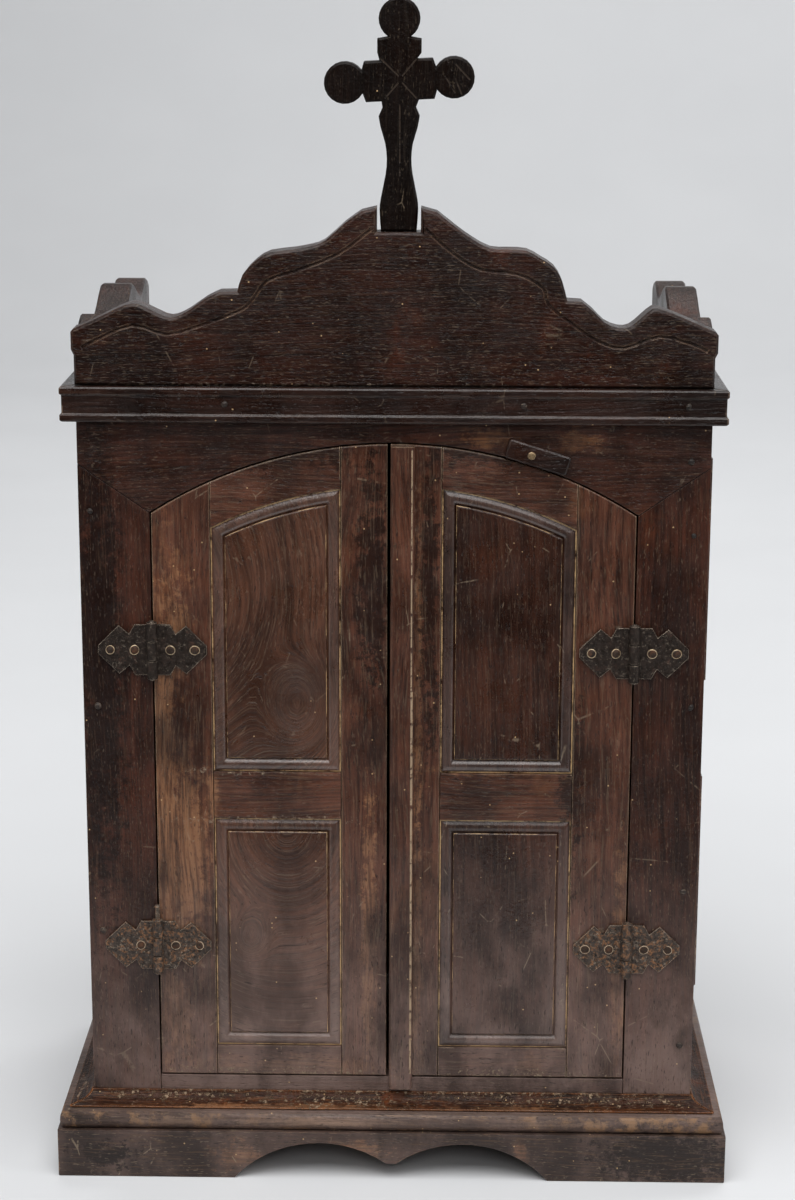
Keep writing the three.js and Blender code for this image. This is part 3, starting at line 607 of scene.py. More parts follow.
@dataclass(frozen=True)
class WoodFinish:
    """Colours, figure, worn edges, painted sheen and painted highlights of one timber finish."""

    name: str
    deep: Colour
    mellow: Colour
    warm: Colour
    arris: Colour
    # Grey of the painted sheen, the floor's reflection painted into the colour.
    painted_sheen: Colour = (0.22, 0.148, 0.125)
    dust: Colour = (0.33, 0.25, 0.17)
    gilt: Colour = (0.62, 0.41, 0.21)
    bare: Colour = (0.27, 0.125, 0.058)
    ring_spacing: float = 0.0045
    wobble: float = 0.022
    pores: float = 0.55
    pale_pores: float = 0.35
    roughness: float = 0.38
    painted_sheen_amount: float = 0.4
    painted_sheen_top: float = 0.42
    edge_cover: float = 0.5
    dust_cover: float = 0.45
    warm_cover: float = 0.35
    relief: float = 0.6
    stains: float = 0.75
    specks: float = 0.1
    scratches: float = 0.5
    gloss: float = 0.5
    streaks: float = 0.4
    spots: tuple[RaggedSpot, ...] = ()
    dusty: tuple[RaggedSpot, ...] = ()
    darkened: tuple[RaggedSpot, ...] = ()
    scored: tuple[tuple[float, float, float, float], ...] = ()
    score: float = 0.0006
    bump_depth: float = 0.0012
    edge_radius: float = 0.0011
    edge_breaks: float = 85.0
    dust_reach: float = 0.006
    polish: float = 0.55
    polish_roughness: float = 0.2
    polish_ior: float = 1.7

    def build(self, effects: SharedEffects) -> bpy.types.Material:
        """Makes the material.

        Args:
            effects: The shared groups.

        Returns:
            The finished material.
        """
        material, graph = blank_material(self.name)
        grain = graph.attribute("grain", "Vector")
        rub = graph.attribute("rub")
        place = graph.place()
        timber = graph.use(
            effects.timber,
            Grain=grain,
            Ring_Spacing=self.ring_spacing,
            Wobble=self.wobble,
            Pore_Density=self.pores,
        )
        edge_mask = graph.use(
            effects.edge_wear_and_highlight,
            Radius=self.edge_radius,
            Cover=self.edge_cover,
            Rub=rub,
            Breaks=self.edge_breaks,
        ).outputs[0]
        dust = graph.use(effects.ledge_dust, Reach=self.dust_reach, Cover=self.dust_cover).outputs[0]
        painted_sheen = graph.use(effects.painted_sheen, Top_Height=self.painted_sheen_top, Amount=self.painted_sheen_amount).outputs[0]

        broad = graph.spread(graph.noise(graph.scaled(grain, (0.35, 1.0, 1.0)), 26.0, 3.0), 0.34, 0.66)
        tone = graph.times(graph.spread(timber.outputs["Fibres"], 0.34, 0.66), 0.55)
        tone = graph.plus(tone, graph.times(timber.outputs["Rings"], 0.25))
        tone = graph.plus(tone, graph.times(broad, 0.35), clamp=True)
        colour = graph.blend(tone, self.deep, self.mellow)
        dirt = graph.use(effects.dirt, Speck_Share=self.specks)

        ruddy = graph.noise(graph.scaled(place, (1.0, 1.0, 0.5)), 34.0, 5.0, 0.66)
        ruddy = graph.ramp(ruddy, 0.72 - 0.3 * self.warm_cover, 0.22)
        colour = graph.blend(graph.times(ruddy, 0.7), colour, self.warm)
        rubbed = self.placed(graph, effects, self.spots)
        streaked = graph.times(rubbed, graph.spread(timber.outputs["Fibres"], 0.4, 0.6, 0.25, 0.9))
        colour = graph.blend(streaked, colour, self.bare)
        # Painted sheen on the panels' convex bands; the same value sets their real coat below.
        band_gloss_and_painted_sheen = graph.attribute("band_gloss_and_painted_sheen")
        # Painted sheen: grey blended in, stronger towards the bottom where the floor's reflection is painted,
        # and on the panel bands.
        greyed = graph.plus(painted_sheen, graph.times(band_gloss_and_painted_sheen, 0.22), clamp=True)
        colour = graph.blend(greyed, colour, self.painted_sheen)
        # Darkened spots, blended in like the stains; the one on the left jamb is painted shade.
        darkened = graph.times(self.placed(graph, effects, self.darkened), 0.92)
        stains_and_darkening = graph.maths("MAXIMUM", graph.times(dirt.outputs["Stains"], self.stains), darkened)
        colour = graph.blend(stains_and_darkening, colour, tuple(0.7 * value for value in self.deep))
        bright = tuple(0.45 * value for value in self.arris)
        colour = graph.blend(graph.times(timber.outputs["Streaks"], self.streaks), colour, bright)
        dark_pores = graph.times(timber.outputs["Pores"], 0.6)
        colour = graph.blend(dark_pores, colour, tuple(0.3 * value for value in self.deep))
        pale = graph.times(timber.outputs["Filled Pores"], self.pale_pores)
        colour = graph.blend(pale, colour, self.dust)
        colour = graph.blend(graph.times(dirt.outputs["Scratches"], self.scratches), colour, self.dust)
        colour = graph.blend(graph.times(dirt.outputs["Specks"], 0.7), colour, self.gilt)
        colour = graph.blend(graph.times(edge_mask, 0.9), colour, self.arris)
        traced = self.traced_lines(graph, place)
        colour = graph.blend(traced, colour, self.gilt)
        lines: object = 0.0
        for x0, z0, x1, z1 in self.scored:
            ends = {"From": (x0 * MM, 0.0, z0 * MM), "To": (x1 * MM, 0.0, z1 * MM)}
            line = graph.use(effects.scored, Width=self.score, **ends)
            lines = graph.maths("MAXIMUM", lines, line.outputs[0])
        colour = graph.blend(graph.times(lines, 0.75), colour, self.arris)
        flecks = graph.spread(graph.noise(place, 380.0, 4.0, 0.7), 0.5, 0.6)
        crusted = graph.times(self.placed(graph, effects, self.dusty), flecks)
        dust = graph.maths("MAXIMUM", dust, crusted)
        colour = graph.blend(graph.times(dust, 0.75), colour, self.dust)

        smudges = graph.spread(graph.noise(place, 45.0, 5.0, 0.65), 0.3, 0.7, -0.07, 0.1)
        rough = graph.plus(smudges, self.roughness)
        rough = graph.plus(rough, graph.times(dust, 0.4))
        rough = graph.plus(rough, graph.times(painted_sheen, 0.1))
        rough = graph.plus(rough, graph.times(pale, 0.25), clamp=True)

        relief = graph.times(timber.outputs["Fibres"], 0.5)
        relief = graph.minus(relief, graph.times(timber.outputs["Pores"], 0.3))
        waves = graph.noise(graph.scaled(grain, (0.5, 1.0, 1.0)), 42.0, 2.0, 0.5)
        relief = graph.plus(relief, graph.times(waves, 1.6))
        dents = graph.noise(place, 480.0, 3.0, 0.6)
        relief = graph.plus(relief, graph.times(dents, 0.45))
        relief = graph.plus(relief, graph.times(dust, 0.5))
        relief = graph.minus(relief, lines)

        polished = graph.times(graph.maths("MAXIMUM", band_gloss_and_painted_sheen, graph.times(edge_mask, rub)), self.polish)
        inputs = {
            "Base Color": colour,
            "Roughness": rough,
            "Specular IOR Level": self.gloss,
            "Coat Weight": polished,
            "Coat Roughness": self.polish_roughness,
            "Coat IOR": self.polish_ior,
        }
        graph.surface(inputs, relief, self.relief, self.bump_depth)
        return material

    def placed(self, graph: Graph, effects: SharedEffects, spots: Sequence[RaggedSpot]) -> object:
        """Joins the masks of several ragged places.

        Args:
            graph: The material's graph.
            effects: The shared groups.
            spots: The places.

        Returns:
            Their mask, or 0 where there are none.
        """
        joined: object = 0.0
        for spot in spots:
            centre = tuple(value * MM for value in spot.centre)
            size = tuple(value * MM for value in spot.size)
            mask = graph.use(effects.spot, Centre=centre, Size=size, Ragged=spot.ragged).outputs[0]
            joined = graph.maths("MAXIMUM", joined, mask)
        return joined

    def traced_lines(self, graph: Graph, place: bpy.types.NodeSocket) -> bpy.types.NodeSocket:
        """Adds the broken pale lines that the attribute named trace marks on a mesh.

        Args:
            graph: The material's graph.
            place: Object coordinates.

        Returns:
            Their mask.
        """
        trace = graph.attribute("trace")
        breaks = graph.noise(place, 62.0, 7.0, 0.78)
        level = graph.maths("MULTIPLY_ADD", trace, -0.3, 0.7)
        broken = graph.ramp(breaks, level, 0.14)
        return graph.times(graph.spread(trace, 0.3, 0.75), graph.times(broken, 0.9))


@dataclass(frozen=True)
class MetalFinish:
    """Colours and surface of forged iron or old brass."""

    name: str
    metal: Colour
    rust: Colour
    bright: Colour
    rust_cover: float
    roughness: float
    metallic: float
    bump: float = 0.7
    mottle: float = 210.0
    crust: float = 0.5
    bump_depth: float = 0.0008
    blow_scale: float = 330.0
    edge_radius: float = 0.0006
    edge_breaks: float = 150.0
    pit: Colour = (0.005, 0.004, 0.003)

    def build(self, effects: SharedEffects) -> bpy.types.Material:
        """Makes the material.

        Args:
            effects: The shared groups.

        Returns:
            The finished material.
        """
        material, graph = blank_material(self.name)
        forged = graph.use(
            effects.hammered, Blow_Scale=self.blow_scale, Rust=self.rust_cover, Mottle_Scale=self.mottle
        )
        edge_mask = graph.use(
            effects.edge_wear_and_highlight, Radius=self.edge_radius, Cover=1.0, Rub=0.9, Breaks=self.edge_breaks
        ).outputs[0]
        rusty = forged.outputs["Rust Mask"]
        place = graph.place()
        tint = graph.spread(graph.noise(place, 300.0, 4.0, 0.6), 0.35, 0.65)
        metal = graph.blend(tint, tuple(0.55 * value for value in self.metal), self.metal)
        colour = graph.blend(rusty, metal, self.rust)
        colour = graph.blend(graph.times(forged.outputs["Pits"], 0.8), colour, self.pit)
        crust = graph.times(forged.outputs["Crust"], self.crust)
        colour = graph.blend(crust, colour, tuple(0.45 * value for value in self.bright))
        colour = graph.blend(graph.times(edge_mask, 0.9), colour, self.bright)
        dulled = graph.times(rusty, 0.8)
        metallic = graph.times(graph.minus(1.0, dulled), self.metallic, clamp=True)
        rough = graph.plus(graph.times(rusty, 0.35), self.roughness)
        rough = graph.plus(rough, graph.times(tint, 0.12), clamp=True)
        inputs = {"Base Color": colour, "Metallic": metallic, "Roughness": rough}
        graph.surface(inputs, forged.outputs["Height"], self.bump, self.bump_depth)
        return material


def lightly(_: Vector) -> float:
    """Rule of a board that nothing handles much and that gets no painted highlight."""
    return 0.3


def near(value: float, level: float, reach: float = 0.6) -> bool:
    """Tells whether a value lies within reach of a level."""
    return abs(value - level) < reach


def off_arch(p: Vector) -> float:
    """Returns how far a point in millimetres lies outside the arched opening's edge."""
    return math.hypot(p.x, p.z - ARCH_CENTRE) - ARCH_RADIUS


class Workshop:
    """The finishes of the altar, and the tools that turn meshes into finished pieces."""

    def __init__(self) -> None:
        """Builds the shared groups and every material."""
        effects = SharedEffects()
        self.case_wood = WoodFinish(
            "CabinetWood", deep=(0.014, 0.0042, 0.0023), mellow=(0.076, 0.023, 0.012),
            warm=(0.12, 0.03, 0.008), arris=(0.22, 0.12, 0.065), painted_sheen_amount=0.85, painted_sheen_top=0.2,
            pale_pores=0.16, roughness=0.36, gloss=0.4, specks=0.012, dust_cover=0.25, streaks=0.3,
            scratches=0.25, bare=(0.17, 0.07, 0.026),
            spots=(RaggedSpot((55, -95, 449), (16, 20, 7), 0.8), RaggedSpot((104, -95, 446), (14, 20, 8), 0.9)),
            # Painted shade: the outer half of the left jamb is darkened, as if the light from the right
            # reached it less.
            darkened=(RaggedSpot((-170, -95, 320), (17, 30, 190), 0.8),),
        ).build(effects)
        self.crest_wood = WoodFinish(
            "CrestWood", deep=(0.007, 0.0021, 0.0011), mellow=(0.036, 0.0095, 0.0045),
            warm=(0.1, 0.02, 0.004), arris=(0.24, 0.14, 0.08), painted_sheen_amount=0.0, pale_pores=0.15,
            pores=0.7, roughness=0.34, warm_cover=0.45, dust_cover=0.1, gloss=0.35, specks=0.012,
            streaks=0.2, scratches=0.2,
            dusty=(RaggedSpot((-60, -101, 478.6), (130, 6, 1.6), 0.6),),
        ).build(effects)
        self.cornice_wood = WoodFinish(
            "CorniceWood", deep=(0.007, 0.0023, 0.0013), mellow=(0.03, 0.0095, 0.005),
            warm=(0.07, 0.018, 0.005), arris=(0.3, 0.2, 0.14), painted_sheen_amount=0.0, pale_pores=0.06,
            pores=0.3, roughness=0.3, warm_cover=0.25, dust_cover=0.2, gloss=0.5, specks=0.012,
            streaks=0.1, scratches=0.15,
        ).build(effects)
        self.cross_wood = WoodFinish(
            "CrossWood", deep=(0.0036, 0.0018, 0.0012), mellow=(0.0085, 0.0036, 0.0022),
            warm=(0.018, 0.006, 0.0022), arris=(0.05, 0.035, 0.025), painted_sheen_amount=0.0, pale_pores=0.1,
            pores=0.5, roughness=0.36, warm_cover=0.2, gloss=0.15, dust_cover=0.05, specks=0.015,
            scratches=0.3,
            scored=(
                (-7.5, 658.7, 1.9, 649.9), (12.2, 659.2, 4.4, 649.9), (1.9, 645.8, -5.1, 637.9),
                (4.4, 645.8, 11.8, 638.0), (2.9, 634.0, 3.0, 596.0), (29.0, 658.2, 36.8, 640.0),
                (33.5, 656.0, 41.0, 648.0), (27.5, 650.0, 33.0, 641.0),
            ),
        ).build(effects)
        self.cove_wood = WoodFinish(
            "CoveWood", deep=(0.009, 0.0034, 0.0016), mellow=(0.06, 0.018, 0.0065),
            warm=(0.2, 0.048, 0.008), arris=(0.42, 0.15, 0.04), painted_sheen_amount=0.0, painted_sheen_top=0.2,
            pale_pores=0.25, roughness=0.42, edge_cover=1.0, dust_cover=0.3, warm_cover=0.65, relief=1.0,
            gloss=0.2, specks=0.05, dust=(0.42, 0.3, 0.2),
            spots=(RaggedSpot((-60, -107, 42), (90, 5, 2.5), 1.0), RaggedSpot((80, -107, 42), (60, 5, 2.5), 1.2)),
            dusty=(
                RaggedSpot((-130, -99, 46), (45, 7, 2.5), 1.5), RaggedSpot((-30, -101, 45), (50, 8, 3.5), 1.8),
                RaggedSpot((110, -100, 46), (70, 8, 3), 1.9), RaggedSpot((-42, -104, 44), (9, 9, 4), 1.3),
                RaggedSpot((0, -95.5, 48.4), (185, 3.5, 1.6), 0.9),
            ),
        ).build(effects)
        base = WoodFinish(
            "BaseWood", deep=(0.016, 0.008, 0.0058), mellow=(0.062, 0.034, 0.026),
            warm=(0.13, 0.052, 0.024), arris=(0.3, 0.17, 0.09), painted_sheen_amount=0.4, painted_sheen_top=0.2,
            pale_pores=0.3, roughness=0.42, edge_cover=0.7, dust_cover=0.25, warm_cover=0.45, relief=0.7,
            gloss=0.4, specks=0.03,
            spots=(
                RaggedSpot((-40, -113, 36), (60, 30, 3.5), 1.0), RaggedSpot((-130, -113, 36), (22, 30, 3), 1.1),
                RaggedSpot((100, -113, 36), (30, 30, 3), 1.1), RaggedSpot((-92, -115, 14), (16, 30, 10), 1.2),
                RaggedSpot((78, -115, 19), (5, 30, 11), 0.7), RaggedSpot((-20, -115, 20), (20, 30, 6), 1.2),
            ),
            darkened=(
                RaggedSpot((165, -115, 16), (60, 30, 22), 0.7), RaggedSpot((-170, -115, 14), (24, 30, 10), 1.1),
            ),
        )
        self.base_wood = base.build(effects)
        # Painted sheen: the torus takes a paler copy of the base wood, as if its rounded face caught the
        # light.
        self.pale_sheen_torus_wood = replace(
            base, name="TorusPaintedSheenWood", deep=(0.03, 0.018, 0.014), mellow=(0.17, 0.112, 0.092), stains=0.5,
            bare=(0.3, 0.19, 0.13),
        ).build(effects)
        self.door_wood = WoodFinish(
            "DoorWood", deep=(0.024, 0.0078, 0.0042), mellow=(0.135, 0.048, 0.026),
            warm=(0.21, 0.078, 0.028), arris=(0.5, 0.36, 0.23), painted_sheen_amount=0.7, painted_sheen_top=0.22,
            pale_pores=0.12, roughness=0.34, edge_cover=0.75, dust_cover=0.4, warm_cover=0.5, wobble=0.03,
            specks=0.02, gloss=0.45, scratches=0.35, streaks=0.2,
            scored=((10.9, 62.0, 10.6, 442.0), (11.2, 62.0, 11.2, 300.0), (-114.0, 437.0, -60.0, 448.0)),
            spots=(
                RaggedSpot((-134, -95, 215), (10, 30, 190), 0.6), RaggedSpot((-127, -95, 335), (10, 30, 40), 1.1),
                RaggedSpot((-120, -95, 200), (14, 30, 75), 1.0), RaggedSpot((-128, -95, 90), (10, 30, 30), 1.0),
                RaggedSpot((83, -95, 67), (11, 30, 8), 0.9), RaggedSpot((-60, -95, 64), (70, 30, 8), 1.0),
                RaggedSpot((-14, -95, 140), (5, 30, 110), 1.1), RaggedSpot((-105, -95, 236), (4, 30, 16), 0.8),
                RaggedSpot((60, -95, 252), (50, 30, 4), 1.1), RaggedSpot((135, -95, 130), (5, 30, 80), 1.1),
                RaggedSpot((14.5, -95, 130), (4, 20, 90), 1.3), RaggedSpot((15, -95, 300), (3, 20, 120), 1.5),
            ),
            dusty=(
                RaggedSpot((-75, -95, 57), (75, 5, 6), 1.6), RaggedSpot((75, -95, 56), (70, 5, 6), 1.6),
                RaggedSpot((-75, -95, 220), (45, 5, 2.5), 1.7), RaggedSpot((-75, -95, 250), (40, 5, 2), 1.7),
            ),
            darkened=(
                RaggedSpot((21, -95, 350), (7, 30, 110), 1.0), RaggedSpot((-75, -95, 440), (70, 30, 14), 0.8),
                RaggedSpot((70, -95, 442), (60, 30, 12), 0.8), RaggedSpot((-12, -95, 370), (12, 30, 80), 1.1),
                RaggedSpot((104, -95, 240), (9, 30, 60), 1.1), RaggedSpot((-142, -95, 420), (12, 30, 14), 0.8),
            ),
        ).build(effects)
        self.panel_wood = WoodFinish(
            "PanelWood", deep=(0.032, 0.0115, 0.006), mellow=(0.13, 0.052, 0.029),
            warm=(0.2, 0.066, 0.024), arris=(0.5, 0.36, 0.24), painted_sheen_amount=0.95, painted_sheen_top=0.21,
            pale_pores=0.16, roughness=0.3, edge_cover=0.6, dust_cover=0.15, warm_cover=0.5,
            ring_spacing=0.0035, wobble=0.03, specks=0.015, streaks=0.2, scratches=0.2, stains=0.65,
        ).build(effects)
        self.dark_panel_wood = WoodFinish(
            "DarkPanelWood", deep=(0.014, 0.0042, 0.0022), mellow=(0.064, 0.0215, 0.0115),
            warm=(0.12, 0.034, 0.012), arris=(0.5, 0.36, 0.24), painted_sheen_amount=0.85, painted_sheen_top=0.22,
            pale_pores=0.13, roughness=0.3, edge_cover=0.6, dust_cover=0.15, warm_cover=0.35,
            ring_spacing=0.004, wobble=0.02, specks=0.015, streaks=0.12, scratches=0.4,
        ).build(effects)
        self.back_wood = WoodFinish(
            "BackWood", deep=(0.035, 0.02, 0.013), mellow=(0.1, 0.06, 0.038), warm=(0.15, 0.08, 0.04),
            arris=(0.22, 0.14, 0.09), painted_sheen_amount=0.3, pale_pores=0.15, roughness=0.7, dust_cover=0.6,
        ).build(effects)
        self.plug_wood = WoodFinish(
            "PlugWood", deep=(0.006, 0.004, 0.003), mellow=(0.03, 0.016, 0.01), warm=(0.06, 0.025, 0.01),
            arris=(0.16, 0.11, 0.08), painted_sheen_amount=0.2, roughness=0.5,
        ).build(effects)
        self.dark_iron = MetalFinish(
            "DarkIron", metal=(0.045, 0.031, 0.024), rust=(0.055, 0.022, 0.011),
            bright=(0.75, 0.62, 0.48), rust_cover=0.45, roughness=0.32, metallic=0.6, crust=0.4,
        ).build(effects)
        self.rusty_iron = MetalFinish(
            "RustyIron", metal=(0.085, 0.064, 0.052), rust=(0.27, 0.125, 0.055), bright=(0.7, 0.56, 0.42),
            rust_cover=0.56, roughness=0.38, metallic=0.5, bump=1.0, crust=0.8, mottle=430.0,
        ).build(effects)
        self.nail_iron = MetalFinish(
            "NailIron", metal=(0.05, 0.027, 0.015), rust=(0.085, 0.034, 0.014), bright=(0.3, 0.18, 0.1),
            rust_cover=0.6, roughness=0.45, metallic=0.3, crust=0.3,
        ).build(effects)
        self.dull_brass = MetalFinish(
            "DullBrass", metal=(0.3, 0.2, 0.12), rust=(0.1, 0.05, 0.025), bright=(0.8, 0.64, 0.46),
            rust_cover=0.75, roughness=0.38, metallic=0.6, bump=0.3,
        ).build(effects)
        self.old_brass = MetalFinish(
            "OldBrass", metal=(0.62, 0.43, 0.24), rust=(0.14, 0.07, 0.03), bright=(0.95, 0.78, 0.56),
            rust_cover=0.4, roughness=0.28, metallic=0.85, bump=0.3,
        ).build(effects)

    def straight_grain(self, mesh: bpy.types.Mesh, along: Vector, facing: Vector, seed: str) -> TimberMap:
        """Gives a board its own straight-grained piece of timber.

        Args:
            mesh: The board.
            along: Direction of the grain.
            facing: Direction of the broad face.
            seed: Text that picks the piece of timber.

        Returns:
            A map from a vertex to its place in the timber.
        """
        chance = random.Random(seed)
        tilt = Matrix.Rotation(math.radians(chance.uniform(-1.6, 1.6)), 3, facing)
        length = (tilt @ along).normalized()
        across = length.cross(facing).normalized()
        depth = length.cross(across)
        offset = Vector((chance.uniform(0, 3), chance.uniform(-0.05, 0.05), chance.uniform(0.03, 0.09)))
        middle = sum((v.co for v in mesh.vertices), Vector()) / len(mesh.vertices)

        def place(p: Vector) -> Vector:
            """Returns the place of a point in the timber."""
            q = p - middle
            return Vector((q.dot(length), q.dot(across), q.dot(depth))) + offset

        return place

    def lay_grain(self, mesh: bpy.types.Mesh, timber: TimberMap) -> None:
        """Stores each vertex's place in the timber as the attribute that the finishes read.

        Args:
            mesh: The board.
            timber: Map from a vertex to its place in the timber.
        """
        layer = mesh.attributes.new("grain", "FLOAT_VECTOR", "POINT")
        for vertex, cell in zip(mesh.vertices, layer.data):
            cell.vector = timber(vertex.co)

    def carried_mesh(self, node: str, rub: RubRule = lightly) -> bpy.types.Mesh:
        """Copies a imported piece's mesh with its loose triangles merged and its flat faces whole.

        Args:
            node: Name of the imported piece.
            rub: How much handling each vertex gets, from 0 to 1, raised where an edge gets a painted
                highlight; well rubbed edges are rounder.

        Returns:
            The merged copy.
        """
        work = bmesh.new()
        work.from_mesh(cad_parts[node].data)
        bmesh.ops.remove_doubles(work, verts=work.verts[:], dist=MERGE_DISTANCE)
        bmesh.ops.dissolve_limit(
            work,
            angle_limit=FLAT_ANGLE,
            verts=work.verts[:],
            edges=work.edges[:],
            use_dissolve_boundaries=False,
        )
        rub_and_highlight_layer = work.verts.layers.float.new("rub")
        for vertex in work.verts:
            vertex[rub_and_highlight_layer] = rub(vertex.co / MM)
        weight = work.edges.layers.float.new("bevel_weight_edge")
        for edge in work.edges:
            if len(edge.link_faces) == 2 and edge.calc_face_angle(0.0) > EDGE_ANGLE:
                edge[weight] = 0.3 + 0.7 * min(v[rub_and_highlight_layer] for v in edge.verts)
        return plain_mesh(work, node + "_dressed")

    def finish_piece(
        self,
        mesh: bpy.types.Mesh,
        name: str,
        body: Body,
        slot: Slot,
        materials: Sequence[bpy.types.Material] = (),
        nodes: Sequence[str] = (),
        edge: float = 0.0,
    ) -> bpy.types.Object:
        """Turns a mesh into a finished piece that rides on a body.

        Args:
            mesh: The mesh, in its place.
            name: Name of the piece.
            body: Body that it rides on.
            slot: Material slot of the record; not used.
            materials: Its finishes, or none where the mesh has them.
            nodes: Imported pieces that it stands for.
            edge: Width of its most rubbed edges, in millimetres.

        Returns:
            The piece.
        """
        for material in materials:
            mesh.materials.append(material)
        piece = add_object(name, mesh)
        mesh.shade_smooth()
        if edge > 0:
            bevel = piece.modifiers.new("EasedEdges", "BEVEL")
            bevel.width = edge * MM
            bevel.segments = 2
            bevel.limit_method = "WEIGHT"
            bevel.use_clamp_overlap = True
            weighted = piece.modifiers.new("FlatFaces", "WEIGHTED_NORMAL")
            weighted.keep_sharp = True
            weighted.weight = 80
        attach(piece, body.value)
        if nodes:
            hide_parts(*nodes)
        LOG.info("%s: %d faces", name, len(mesh.polygons))
        return piece

    def dress_board(
        self,
        node: str,
        along: Axis,
        facing: Face,
        material: bpy.types.Material,
        slot: Slot = Slot.CASE_WOOD,
        body: Body = Body.CASE,
        edge: float = 0.7,
        rub: RubRule = lightly,
    ) -> bpy.types.Object:
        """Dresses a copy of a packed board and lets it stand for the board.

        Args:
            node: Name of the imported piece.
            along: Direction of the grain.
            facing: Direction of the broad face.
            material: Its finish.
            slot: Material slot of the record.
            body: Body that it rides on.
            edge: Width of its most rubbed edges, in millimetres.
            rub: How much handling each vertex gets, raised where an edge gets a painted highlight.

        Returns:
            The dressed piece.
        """
        mesh = self.carried_mesh(node, rub)
        self.lay_grain(mesh, self.straight_grain(mesh, along.value, facing.value, node))
        return self.finish_piece(mesh, node + "_wood", body, slot, [material], [node], edge)

    def repeat(
        self,
        name: str,
        pattern: bpy.types.NodeTree,
        places: Sequence[Vector],
        values: dict[str, object],
        body: Body,
        slot: Slot,
    ) -> bpy.types.Object:
        """Sets one small shape on many places with a geometry tree, as one plain mesh.

        Args:
            name: Name of the piece.
            pattern: The tree.
            places: Where each shape stands, in metres.
            values: The tree's inputs by name.
            body: Body that the piece rides on.
            slot: Material slot of the record.

        Returns:
            The piece.
        """
        seeds = bpy.data.meshes.new(name + "_places")
        seeds.from_pydata([tuple(p) for p in places], [], [])
        holder = add_object(name + "_places", seeds)
        modifier = holder.modifiers.new("Repeat", "NODES")
        modifier.node_group = pattern
        for item in pattern.interface.items_tree:
            if item.item_type == "SOCKET" and item.in_out == "INPUT" and item.name in values:
                modifier[item.identifier] = values[item.name]
        depsgraph = bpy.context.evaluated_depsgraph_get()
        mesh = bpy.data.meshes.new_from_object(holder.evaluated_get(depsgraph), depsgraph=depsgraph)
        mesh.name = name + "_dressed"
        holder.modifiers.remove(modifier)
        bpy.data.objects.remove(holder)
        self.lay_grain(mesh, lambda p: p)
        return self.finish_piece(mesh, name, body, slot)


